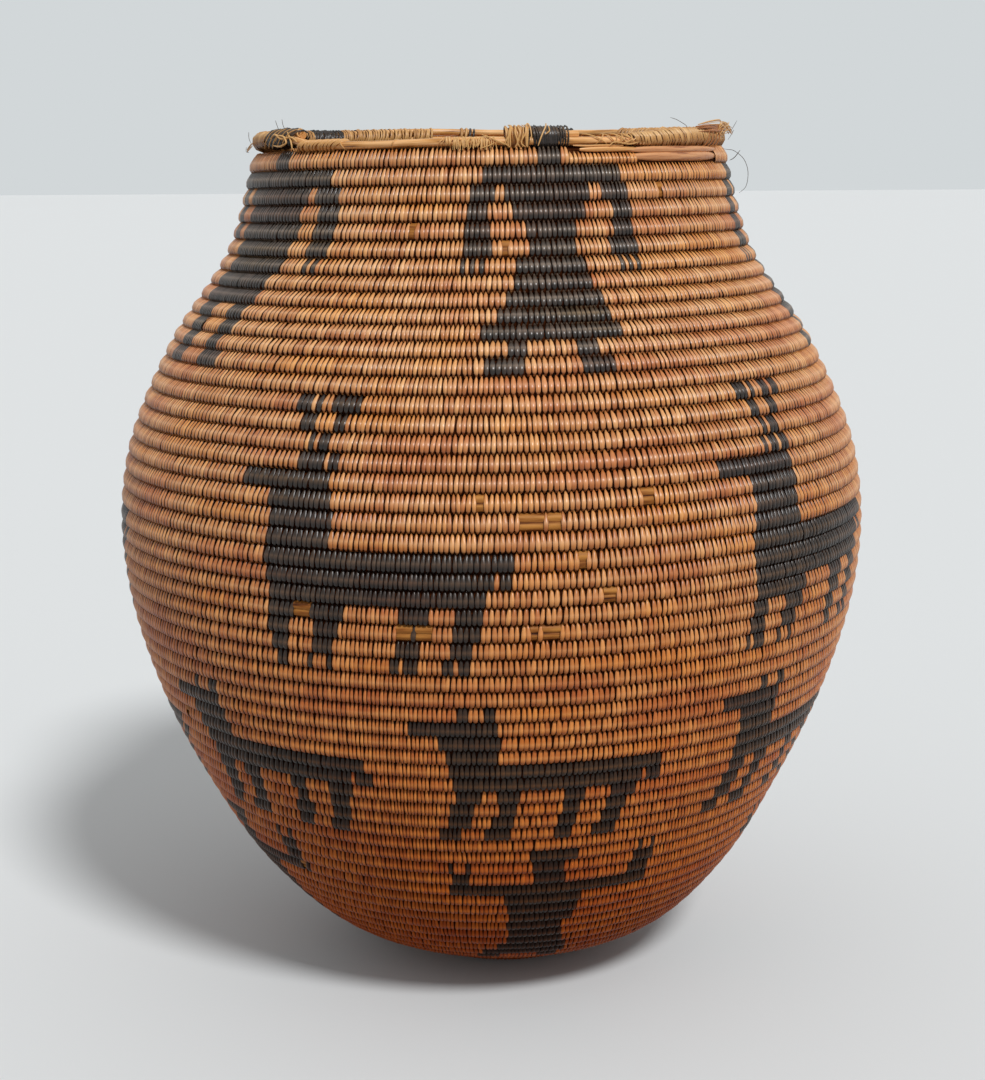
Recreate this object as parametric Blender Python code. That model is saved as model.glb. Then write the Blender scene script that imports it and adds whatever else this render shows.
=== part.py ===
# Coiled olla basket on a three-rod foundation, in metres, +Z up.
# The basket is one long coil that starts at the knot in the middle of the foot and
# climbs anticlockwise, seen from above, to the mouth. A node holds two turns of it.
# The front of the basket faces -Y, and azimuths turn from there towards +X.

import math

import bmesh
import bpy
import numpy as np

# Outline of the outer surface
FOOT_RADIUS = 0.040
BELLY_RADIUS = 0.1325
BELLY_HEIGHT = 0.163
MOUTH_RADIUS = 0.0825
WALL_HEIGHT = 0.295

# The coil
COIL_THICKNESS = 0.006
GROOVE_DEPTH = 0.0011
COIL_GAP = 0.0003
SEAM_DEGREES = -50.0
DIRECTION_REACH = 0.0027
KNOT_TURNS = 2
FOOT_TURNS = 8
TURNS_UP_TO_BELLY = 44
TURNS_FROM_BELLY_TO_RIM = 24
TURNS_PER_NODE = 2

# The rim: three rods side by side, bound with pale splints where they are whole.
# The coil ends at the back left, so the rim starts there, one turn before that end.
COIL_END_DEGREES = 250.0
ROD_RADIUS = 0.00125
BINDING_THICKNESS = 0.0005
ROD_GAP = 0.0003
TOP_ROD_SPANS_DEGREES = ((9.0, 18.0), (31.0, 249.0), (-109.0, -50.0))
LOWER_ROD_SPAN_DEGREES = (-109.0, 249.0)
BINDING_SPANS_DEGREES = (
    (10.0, 17.0),
    (32.0, 60.0),
    (60.3, 100.0),
    (100.3, 141.0),
    (156.0, 169.0),
    (197.0, 227.0),
    (227.3, 248.0),
    (-108.0, -80.0),
    (-79.7, -51.0),
)

# Fineness of the faceted surfaces
SEGMENTS_PER_TURN = 28
OUTLINE_STEPS = 24
ROD_SIDES = 6
BINDING_SIDES = 8
ROD_STEP_DEGREES = 12.0
SHARP_EDGE_DEGREES = 50.0

# Lower outline: share of the way out from foot to belly, share of the belly's height
LOWER_OUTLINE_SHARES = (
    (0.278, 0.106),
    (0.520, 0.247),
    (0.706, 0.424),
    (0.876, 0.636),
    (0.988, 0.883),
)
# Upper outline: share of the way in from belly to mouth, share of the way up
UPPER_OUTLINE_SHARES = (
    (0.048, 0.161),
    (0.380, 0.467),
    (0.826, 0.729),
)

# Colours, linear RGB
TAN_COLOUR = (0.42, 0.21, 0.09, 1.0)
DARK_TAN_COLOUR = (0.33, 0.15, 0.06, 1.0)
ROD_COLOUR = (0.40, 0.17, 0.06, 1.0)
STRAW_COLOUR = (0.58, 0.38, 0.16, 1.0)
BLACK_COLOUR = (0.02, 0.016, 0.014, 1.0)
SPLINT_ROUGHNESS = 0.55
ROD_ROUGHNESS = 0.45


def clear_scene():
    for scene_object in list(bpy.data.objects):
        bpy.data.objects.remove(scene_object, do_unlink=True)


def outline_points():
    """The outer surface from the middle of the foot to the mouth, as (radius, height)."""
    points = [(0.0, 0.0), (FOOT_RADIUS, 0.0)]
    for out_share, up_share in LOWER_OUTLINE_SHARES:
        radius = FOOT_RADIUS + out_share * (BELLY_RADIUS - FOOT_RADIUS)
        points.append((radius, up_share * BELLY_HEIGHT))
    points.append((BELLY_RADIUS, BELLY_HEIGHT))
    for in_share, up_share in UPPER_OUTLINE_SHARES:
        radius = BELLY_RADIUS - in_share * (BELLY_RADIUS - MOUTH_RADIUS)
        points.append((radius, BELLY_HEIGHT + up_share * (WALL_HEIGHT - BELLY_HEIGHT)))
    points.append((MOUTH_RADIUS, WALL_HEIGHT))
    return np.array(points)


def smooth_outline(points):
    """A smooth curve through the outline's points. The foot stays flat."""
    lengths = np.hypot(*np.diff(points, axis=0).T)
    directions = np.diff(points, axis=0) / lengths[:, None]
    tangents = np.zeros_like(points)
    tangents[0] = directions[0]
    tangents[-1] = directions[-1]
    tangents[1] = directions[0]
    for i in range(2, len(points) - 1):
        before, after = lengths[i - 1], lengths[i]
        tangents[i] = (directions[i - 1] * after + directions[i] * before) / (before + after)
    curve = []
    for i, length in enumerate(lengths):
        for step in range(OUTLINE_STEPS):
            u = step / OUTLINE_STEPS
            start_weight = 2 * u**3 - 3 * u**2 + 1
            start_tangent_weight = (u**3 - 2 * u**2 + u) * length
            end_weight = 3 * u**2 - 2 * u**3
            end_tangent_weight = (u**3 - u**2) * length
            curve.append(
                start_weight * points[i]
                + start_tangent_weight * tangents[i]
                + end_weight * points[i + 1]
                + end_tangent_weight * tangents[i + 1]
            )
    curve.append(points[-1])
    return np.array(curve)


OUTLINE = smooth_outline(outline_points())
OUTLINE_ARCS = np.concatenate(([0.0], np.cumsum(np.hypot(*np.diff(OUTLINE, axis=0).T))))
OUTLINE_LENGTH = OUTLINE_ARCS[-1]
BELLY_ARC = OUTLINE_ARCS[OUTLINE_STEPS * (len(LOWER_OUTLINE_SHARES) + 2)]
TURN_COUNT = TURNS_UP_TO_BELLY + TURNS_FROM_BELLY_TO_RIM


def arc_at_turn(turn):
    """Distance along the outline, from the middle of the foot, after so many turns."""
    if turn < TURNS_UP_TO_BELLY:
        return BELLY_ARC * turn / TURNS_UP_TO_BELLY
    share_above = (turn - TURNS_UP_TO_BELLY) / TURNS_FROM_BELLY_TO_RIM
    return BELLY_ARC + (OUTLINE_LENGTH - BELLY_ARC) * share_above


def outline_at(arc):
    """Radius, height and unit direction of the outer surface at a distance along it."""
    radius = np.interp(arc, OUTLINE_ARCS, OUTLINE[:, 0])
    height = np.interp(arc, OUTLINE_ARCS, OUTLINE[:, 1])
    ahead = min(arc + DIRECTION_REACH, OUTLINE_LENGTH)
    behind = max(arc - DIRECTION_REACH, 0.0)
    run, rise = (
        np.interp(ahead, OUTLINE_ARCS, values) - np.interp(behind, OUTLINE_ARCS, values)
        for values in OUTLINE.T
    )
    size = math.hypot(run, rise)
    return radius, height, run / size, rise / size


def wall_point(arc, depth):
    """(radius, height) of a point that lies so deep below the outer surface."""
    radius, height, run, rise = outline_at(arc)
    return radius - depth * rise, height + depth * run


def placed(radius, height, degrees):
    angle = math.radians(degrees)
    return (radius * math.sin(angle), -radius * math.cos(angle), height)


def make_material(name, colour, roughness):
    material = bpy.data.materials.new(name + "_material")
    material.use_nodes = True
    shader = material.node_tree.nodes["Principled BSDF"]
    shader.inputs["Base Color"].default_value = colour
    shader.inputs["Roughness"].default_value = roughness
    shader.inputs["Metallic"].default_value = 0.0
    return material


def add_swept_body(name, sections, closed_core, colour, roughness):
    """A closed body through a row of sections, each a loop of the same number of points.

    With a closed core each section is one loop with a cap at either end. Otherwise the
    first half of its points is the outer wall of a pipe and the second half its bore.
    """
    mesh_data = bmesh.new()
    rows = [[mesh_data.verts.new(point) for point in section] for section in sections]
    count = len(rows[0])
    loops = [range(count)] if closed_core else [range(count // 2), range(count // 2, count)]
    for row, next_row in zip(rows, rows[1:]):
        for loop in loops:
            order = list(loop)
            for here, there in zip(order, order[1:] + order[:1]):
                mesh_data.faces.new((row[here], row[there], next_row[there], next_row[here]))
    for row in (rows[0], rows[-1]):
        if closed_core:
            mesh_data.faces.new(row)
            continue
        half = count // 2
        for here in range(half):
            there = (here + 1) % half
            mesh_data.faces.new((row[here], row[there], row[half + there], row[half + here]))
    bmesh.ops.triangulate(mesh_data, faces=mesh_data.faces[:])
    bmesh.ops.recalc_face_normals(mesh_data, faces=mesh_data.faces[:])
    mesh = bpy.data.meshes.new(name)
    mesh_data.to_mesh(mesh)
    mesh_data.free()
    mesh.shade_smooth()
    mesh.set_sharp_from_angle(angle=math.radians(SHARP_EDGE_DEGREES))
    mesh.materials.append(make_material(name, colour, roughness))
    body = bpy.data.objects.new(name, mesh)
    bpy.context.collection.objects.link(body)
    return body


def band_section(start_turn, turns, groove_depth):
    """The loop of (radius, height) points round so many turns of the coil."""
    low_arc = arc_at_turn(start_turn) + COIL_GAP / 2
    high_arc = arc_at_turn(start_turn + turns) - COIL_GAP / 2
    loop = [wall_point(low_arc, groove_depth)]
    for number in range(turns):
        turn = start_turn + number
        middle_arc = (arc_at_turn(turn) + arc_at_turn(turn + 1)) / 2
        loop.append(wall_point(middle_arc, 0.0))
        if number + 1 < turns:
            loop.append(wall_point(arc_at_turn(turn + 1), groove_depth))
    loop.append(wall_point(high_arc, groove_depth))
    loop.append(wall_point(high_arc, COIL_THICKNESS))
    loop.append(wall_point(low_arc, COIL_THICKNESS))
    return loop


def add_coil_band(name, first_turn, turns, end_degrees, colour):
    """So many turns of the coil, which climb by one pitch on their way round."""
    round_share = (end_degrees - SEAM_DEGREES) / 360.0
    groove_depth = GROOVE_DEPTH if first_turn >= FOOT_TURNS else 0.0
    inner_radius = wall_point(arc_at_turn(first_turn), COIL_THICKNESS)[0]
    half_gap_degrees = math.degrees(COIL_GAP / (2 * inner_radius))
    sections = []
    for step in range(SEGMENTS_PER_TURN + 1):
        share = step / SEGMENTS_PER_TURN
        loop = band_section(first_turn + share * round_share, turns, groove_depth)
        swing = end_degrees - SEAM_DEGREES - 2 * half_gap_degrees
        degrees = SEAM_DEGREES + half_gap_degrees + share * swing
        sections.append([placed(radius, height, degrees) for radius, height in loop])
    return add_swept_body(name, sections, True, colour, SPLINT_ROUGHNESS)


def add_start_knot():
    """The knotted middle of the foot: a disc whose edge follows the first free turn."""
    mesh_data = bmesh.new()
    edge = []
    for step in range(SEGMENTS_PER_TURN + 1):
        climb = step / SEGMENTS_PER_TURN
        radius = arc_at_turn(KNOT_TURNS + climb) - COIL_GAP / 2
        half_gap_degrees = math.degrees(COIL_GAP / (2 * radius))
        degrees = SEAM_DEGREES + half_gap_degrees + climb * (360.0 - 2 * half_gap_degrees)
        edge.append((radius, degrees))
    bottom = [mesh_data.verts.new(placed(radius, 0.0, degrees)) for radius, degrees in edge]
    top = [mesh_data.verts.new(placed(radius, COIL_THICKNESS, degrees)) for radius, degrees in edge]
    mesh_data.faces.new(bottom)
    mesh_data.faces.new(top)
    for here in range(len(edge)):
        there = (here + 1) % len(edge)
        mesh_data.faces.new((bottom[here], bottom[there], top[there], top[here]))
    bmesh.ops.recalc_face_normals(mesh_data, faces=mesh_data.faces[:])
    mesh = bpy.data.meshes.new("start_knot")
    mesh_data.to_mesh(mesh)
    mesh_data.free()
    mesh.shade_smooth()
    mesh.set_sharp_from_angle(angle=math.radians(SHARP_EDGE_DEGREES))
    mesh.materials.append(make_material("start_knot", DARK_TAN_COLOUR, SPLINT_ROUGHNESS))
    knot = bpy.data.objects.new("start_knot", mesh)
    bpy.context.collection.objects.link(knot)
    return knot


BUNDLE_RADIUS = (2 * ROD_RADIUS + ROD_GAP) / math.sqrt(3.0)
BINDING_BORE_RADIUS = (BUNDLE_RADIUS + ROD_RADIUS + ROD_GAP) / math.cos(math.pi / BINDING_SIDES)
BINDING_RADIUS = BINDING_BORE_RADIUS + BINDING_THICKNESS


def rim_section(degrees, offsets):
    """Points beside the rim's middle line, from (outward, upward) offsets."""
    climb = (degrees - SEAM_DEGREES) / 360.0
    arc = arc_at_turn(TURN_COUNT - 1 + climb)
    base_radius, base_height = wall_point(arc, COIL_THICKNESS / 2)
    _, _, run, rise = outline_at(arc)
    lift = COIL_GAP + BINDING_RADIUS
    points = []
    for outward, upward in offsets:
        radius = base_radius + (lift + upward) * run + outward * rise
        height = base_height + (lift + upward) * rise - outward * run
        points.append(placed(radius, height, degrees))
    return points


def circle_offsets(centre, radius, sides):
    offsets = []
    for side in range(sides):
        angle = 2 * math.pi * (side + 0.5) / sides
        offsets.append((centre[0] + radius * math.cos(angle), centre[1] + radius * math.sin(angle)))
    return offsets


def span_steps(span):
    start, end = span
    steps = max(2, math.ceil((end - start) / ROD_STEP_DEGREES))
    return [start + (end - start) * step / steps for step in range(steps + 1)]


def add_rim_rod(name, bundle_degrees, span, colour):
    bundle_angle = math.radians(bundle_degrees)
    centre = (BUNDLE_RADIUS * math.cos(bundle_angle), BUNDLE_RADIUS * math.sin(bundle_angle))
    offsets = circle_offsets(centre, ROD_RADIUS, ROD_SIDES)
    sections = [rim_section(degrees, offsets) for degrees in span_steps(span)]
    return add_swept_body(name, sections, True, colour, ROD_ROUGHNESS)


def add_rim_binding(name, span, colour):
    """The splints that wrap the three rods along one whole stretch of the rim."""
    outer = circle_offsets((0.0, 0.0), BINDING_RADIUS, BINDING_SIDES)
    bore = circle_offsets((0.0, 0.0), BINDING_BORE_RADIUS, BINDING_SIDES)
    sections = [rim_section(degrees, outer + bore) for degrees in span_steps(span)]
    return add_swept_body(name, sections, False, colour, SPLINT_ROUGHNESS)


def add_coil():
    add_start_knot()
    turn = KNOT_TURNS
    base_number = 0
    wall_number = 0
    full_turn_degrees = SEAM_DEGREES + 360.0
    while turn < TURN_COUNT - 1:
        turns = min(TURNS_PER_NODE, TURN_COUNT - 1 - turn)
        end_degrees = COIL_END_DEGREES if turn + turns == TURN_COUNT - 1 else full_turn_degrees
        if turn < FOOT_TURNS:
            base_number += 1
            name, colour = f"base_coil_{base_number:02d}", DARK_TAN_COLOUR
        else:
            wall_number += 1
            name, colour = f"wall_coil_{wall_number:02d}", TAN_COLOUR
        add_coil_band(name, turn, turns, end_degrees, colour)
        turn += turns


def add_rim():
    stub_span, long_span, left_span = TOP_ROD_SPANS_DEGREES
    add_rim_rod("rim_rod_outer", -30.0, LOWER_ROD_SPAN_DEGREES, ROD_COLOUR)
    add_rim_rod("rim_rod_inner", 210.0, LOWER_ROD_SPAN_DEGREES, ROD_COLOUR)
    add_rim_rod("rim_rod_top_stub", 90.0, stub_span, ROD_COLOUR)
    add_rim_rod("rim_rod_top", 90.0, long_span, ROD_COLOUR)
    add_rim_rod("rim_rod_top_left", 90.0, left_span, ROD_COLOUR)
    for number, span in enumerate(BINDING_SPANS_DEGREES, start=1):
        colour = BLACK_COLOUR if number in (1, 5) else STRAW_COLOUR
        add_rim_binding(f"rim_binding_{number:02d}", span, colour)


clear_scene()
add_coil()
add_rim()
print("turns", TURN_COUNT, "length of the outline in metres", round(OUTLINE_LENGTH, 4))
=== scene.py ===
# %% [markdown]
# # A coiled olla basket
# The basket is one long bundle of three willow rods, wound round and round into a jar.
# Every turn is sewn to the turn below it with thin split stems, about 21,000 stitches.
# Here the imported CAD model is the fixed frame, and each band of it is dressed in stitches.

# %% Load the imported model
import math
import random

import bpy
import numpy as np
from mathutils import Matrix, Vector


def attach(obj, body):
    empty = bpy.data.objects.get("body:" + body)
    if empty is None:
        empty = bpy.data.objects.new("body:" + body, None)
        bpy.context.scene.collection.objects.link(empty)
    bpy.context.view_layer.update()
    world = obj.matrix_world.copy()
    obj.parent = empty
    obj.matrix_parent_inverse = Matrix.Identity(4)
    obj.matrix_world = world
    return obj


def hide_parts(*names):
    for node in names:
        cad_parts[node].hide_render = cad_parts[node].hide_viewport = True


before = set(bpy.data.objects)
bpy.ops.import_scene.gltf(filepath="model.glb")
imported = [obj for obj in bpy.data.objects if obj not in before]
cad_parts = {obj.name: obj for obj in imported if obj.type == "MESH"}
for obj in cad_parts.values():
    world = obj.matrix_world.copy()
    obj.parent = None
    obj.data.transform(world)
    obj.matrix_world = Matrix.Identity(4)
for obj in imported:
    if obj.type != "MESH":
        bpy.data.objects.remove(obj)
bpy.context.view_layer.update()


def new_object(name, data):
    """Puts a mesh, a camera or a light into the scene, as an object of that name."""
    made = bpy.data.objects.new(name, data)
    bpy.context.scene.collection.objects.link(made)
    return made


print("CAD nodes:", len(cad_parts))

# %% [markdown]
# ## The sizes of the basket
# A weaver thinks in turns of the coil and in the height of one turn. The outline follows
# the CAD model's curve closely. Low down it is drawn a few millimetres rounder, with a
# smaller foot, the rows creep a little up the wall, the neck is drawn in just under the rim,
# and the body leans, as hand work does.

# %% Sizes in metres
FOOT_RADIUS = 0.027
BELLY_RADIUS = 0.1325
BELLY_HEIGHT = 0.163
MOUTH_RADIUS = 0.0825
WALL_HEIGHT = 0.295
LOWER_OUTLINE_SHARES = (
    (0.171, 0.0466), (0.332, 0.0914), (0.579, 0.247), (0.742, 0.424), (0.891, 0.636),
    (0.989, 0.883))
UPPER_OUTLINE_SHARES = ((0.048, 0.161), (0.380, 0.467), (0.826, 0.729))
OUTLINE_STEPS = 24

COIL_THICKNESS = 0.006
COIL_GAP = 0.0003
SEAM_DEGREES = -50.0  # where each turn is counted from
DIRECTION_REACH = 0.0027  # the outline's slope is taken over this much on each side
FOOT_TURNS = 8
TURNS_UP_TO_BELLY = 44
TURNS_FROM_BELLY_TO_RIM = 24
TURN_COUNT = TURNS_UP_TO_BELLY + TURNS_FROM_BELLY_TO_RIM
COIL_END_DEGREES = 250.0
SEWN_TURNS = TURN_COUNT - 1
COIL_END_TURN = SEWN_TURNS - 1 + (COIL_END_DEGREES - SEAM_DEGREES) / 360.0
ROW_DRIFT = (  # turn of the coil, how far its row has crept up the wall, in millimetres
    (8.0, 0.0), (16.0, 0.6), (28.0, 1.4), (36.0, 1.3), (43.0, 2.1), (50.0, 2.1), (55.0, 2.8),
    (60.0, 2.0), (64.0, 0.9), (67.0, 0.0))
FOOT_SHIFT = 0.0046
LEANING_HEIGHT = 0.10  # the body stands straight above this
NECK_PINCH = 0.0010
PINCHED_HEIGHTS = (0.268, 0.290)

# %% The outline as a smooth curve
def outline_points():
    """The outer surface from the middle of the foot to the mouth, as (radius, height)."""
    points = [(0.0, 0.0), (FOOT_RADIUS, 0.0)]
    for out_share, up_share in LOWER_OUTLINE_SHARES:
        radius = FOOT_RADIUS + out_share * (BELLY_RADIUS - FOOT_RADIUS)
        points.append((radius, up_share * BELLY_HEIGHT))
    points.append((BELLY_RADIUS, BELLY_HEIGHT))
    for in_share, up_share in UPPER_OUTLINE_SHARES:
        radius = BELLY_RADIUS - in_share * (BELLY_RADIUS - MOUTH_RADIUS)
        points.append((radius, BELLY_HEIGHT + up_share * (WALL_HEIGHT - BELLY_HEIGHT)))
    points.append((MOUTH_RADIUS, WALL_HEIGHT))
    return np.array(points)


def smooth_outline(points):
    """A smooth curve through the outline's points. The foot stays flat."""
    lengths = np.hypot(*np.diff(points, axis=0).T)
    directions = np.diff(points, axis=0) / lengths[:, None]
    tangents = np.zeros_like(points)
    tangents[0] = tangents[1] = directions[0]
    tangents[-1] = directions[-1]
    for i in range(2, len(points) - 1):
        before, after = lengths[i - 1], lengths[i]
        tangents[i] = (directions[i - 1] * after + directions[i] * before) / (before + after)
    curve = []
    for i, length in enumerate(lengths):
        for u in np.arange(OUTLINE_STEPS) / OUTLINE_STEPS:
            curve.append(
                (2 * u**3 - 3 * u**2 + 1) * points[i]
                + (u**3 - 2 * u**2 + u) * length * tangents[i]
                + (3 * u**2 - 2 * u**3) * points[i + 1]
                + (u**3 - u**2) * length * tangents[i + 1])
    curve.append(points[-1])
    return np.array(curve)


OUTLINE = smooth_outline(outline_points())
OUTLINE_ARCS = np.concatenate(([0.0], np.cumsum(np.hypot(*np.diff(OUTLINE, axis=0).T))))
OUTLINE_LENGTH = OUTLINE_ARCS[-1]
BELLY_ARC = OUTLINE_ARCS[OUTLINE_STEPS * (len(LOWER_OUTLINE_SHARES) + 2)]
print("Length of the outline:", round(OUTLINE_LENGTH * 1000, 1), "mm")

# %% Along the outline
def arc_at_turn(turn):
    """Distance along the outline, from the middle of the foot, after so many turns."""
    turn = np.asarray(turn, float)
    below = BELLY_ARC * turn / TURNS_UP_TO_BELLY
    share_above = (turn - TURNS_UP_TO_BELLY) / TURNS_FROM_BELLY_TO_RIM
    above = BELLY_ARC + (OUTLINE_LENGTH - BELLY_ARC) * share_above
    drift = np.interp(turn, *zip(*ROW_DRIFT)) / 1000
    return np.where(turn < TURNS_UP_TO_BELLY, below, above) + drift


def outline_at(arc):
    """Radius, height and unit direction of the outer surface at a distance along it."""
    radius = np.interp(arc, OUTLINE_ARCS, OUTLINE[:, 0])
    height = np.interp(arc, OUTLINE_ARCS, OUTLINE[:, 1])
    ahead = np.minimum(arc + DIRECTION_REACH, OUTLINE_LENGTH)
    behind = np.maximum(arc - DIRECTION_REACH, 0.0)
    run, rise = (np.interp(ahead, OUTLINE_ARCS, values) - np.interp(behind, OUTLINE_ARCS, values)
                 for values in OUTLINE.T)
    size = np.hypot(run, rise)
    return radius, height, run / size, rise / size


def degrees_at_turn(turn):
    """The azimuth of a place on the coil: 0 in front, 90 on the right."""
    return SEAM_DEGREES + 360.0 * (np.asarray(turn, float) % 1.0)


def pinch_at(height):
    """How far the last turns are drawn in under the rim."""
    return NECK_PINCH * np.interp(height, PINCHED_HEIGHTS, (0.0, 1.0))


# %% From a turn of the coil to a place on the wall
def frame_at(degrees, radius, height, run, rise):
    """Place, direction along, outwards and upwards, at an azimuth of the turned outline."""
    sine, cosine = np.sin(np.radians(degrees)), np.cos(np.radians(degrees))
    place = np.stack([radius * sine, -radius * cosine, height], -1)
    along = np.stack([cosine, sine, np.zeros_like(sine)], -1)
    outwards = np.stack([rise * sine, -rise * cosine, -run], -1)
    upwards = np.stack([run * sine, -run * cosine, rise], -1)
    return place, along, outwards, upwards


def coil_frame(turn):
    """The coil's middle line at a turn: place, direction along, outwards and upwards."""
    radius, height, run, rise = outline_at(arc_at_turn(np.asarray(turn, float) + 0.5))
    radius = radius - COIL_THICKNESS / 2 * rise - pinch_at(height)
    height = height + COIL_THICKNESS / 2 * run
    place, *directions = frame_at(degrees_at_turn(turn), radius, height, run, rise)
    # the hand-made body leans a little over its foot
    place[..., 0] += FOOT_SHIFT * np.clip(1 - height / LEANING_HEIGHT, 0, 1)**2
    return place, *directions


def pitch_at_turn(turn):
    """The height of one turn of the coil, measured along the wall."""
    return arc_at_turn(np.asarray(turn) + 1.0) - arc_at_turn(turn)


print("Height of a turn:", round(float(pitch_at_turn(20.0)) * 1000, 2), "mm low down,",
      round(float(pitch_at_turn(60.0)) * 1000, 2), "mm in the neck")

# %% [markdown]
# ## The camera
# The photograph looks slightly down at the basket from about 0.7 m away. The camera's place
# and lens were fitted to the outline of the basket and to the lines of its rows.

# %% Camera
CAMERA_PLACE = (0.0003, -0.670, 0.280)
CAMERA_PITCH_DEGREES = 10.95
CAMERA_ROLL_DEGREES = -0.35
CAMERA_LENS = 62.2

camera_data = bpy.data.cameras.new("photo_camera")
camera_data.lens = CAMERA_LENS
camera_data.sensor_width = 36.0
camera = new_object("photo_camera", camera_data)
camera.matrix_world = (
    Matrix.Translation(CAMERA_PLACE)
    @ Matrix.Rotation(math.radians(90 - CAMERA_PITCH_DEGREES), 4, "X")
    @ Matrix.Rotation(math.radians(CAMERA_ROLL_DEGREES), 4, "Z"))
bpy.context.scene.camera = camera
bpy.context.scene.view_settings.view_transform = "Standard"

# %% [markdown]
# ## Materials
# All the fibres are plant stems that were split, scraped and dried. They differ in colour
# and in how much of the stem's natural polish is left. One helper adds every node.

# %% Colour helper
def linear(hex_colour, alpha=1.0):
    """A colour written in sRGB hex, as the linear values that Blender works in."""
    values = [int(hex_colour[i:i + 2], 16) / 255 for i in (1, 3, 5)]
    return tuple(v / 12.92 if v <= 0.04045 else ((v + 0.055) / 1.055) ** 2.4
                 for v in values) + (alpha,)


# %% Node helpers
def set_inputs(tree, node, inputs):
    """Sets each input to a value, or links it to a socket or to a node's first output."""
    for key, value in inputs.items():
        if isinstance(value, bpy.types.Node):
            value = value.outputs[0]
        if isinstance(value, bpy.types.NodeSocket):
            tree.links.new(value, node.inputs[key])
        else:
            node.inputs[key].default_value = value


def add_node(tree, kind, inputs=None, stops=(), **settings):
    """Adds one node with its settings and inputs, and the (place, hex colour) stops of a ramp."""
    node = tree.nodes.new(kind)
    for name, value in settings.items():
        setattr(node, name, value)
    set_inputs(tree, node, inputs or {})
    elements = node.color_ramp.elements if stops else []
    while len(elements) < len(stops):
        elements.new(0.5)
    for element, (place, colour) in zip(elements, stops):
        element.position = place
        element.color = linear(colour)
    return node


def new_material(name):
    """A material with its node tree and its shader."""
    material = bpy.data.materials.new(name)
    material.use_nodes = True
    return material, material.node_tree, material.node_tree.nodes["Principled BSDF"]


# %% Splint material
BROWNED_AND_SHADED_HEIGHT = 0.30
LOW_BODY_BROWN_AND_SHADE_STOPS = (  # height as a share of the browned and shaded height
    (0.0, "#BC7634"), (0.10, "#CC883E"), (0.20, "#DCA462"), (0.34, "#ECC28E"), (0.54, "#EFDBC2"),
    (0.78, "#FFFAF4"))
HARVEST_STOPS = ((0.36, "#F1DCD3"), (0.48, "#FFFFFF"), (0.54, "#FFFFFF"), (0.66, "#FFF2D2"))


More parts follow.
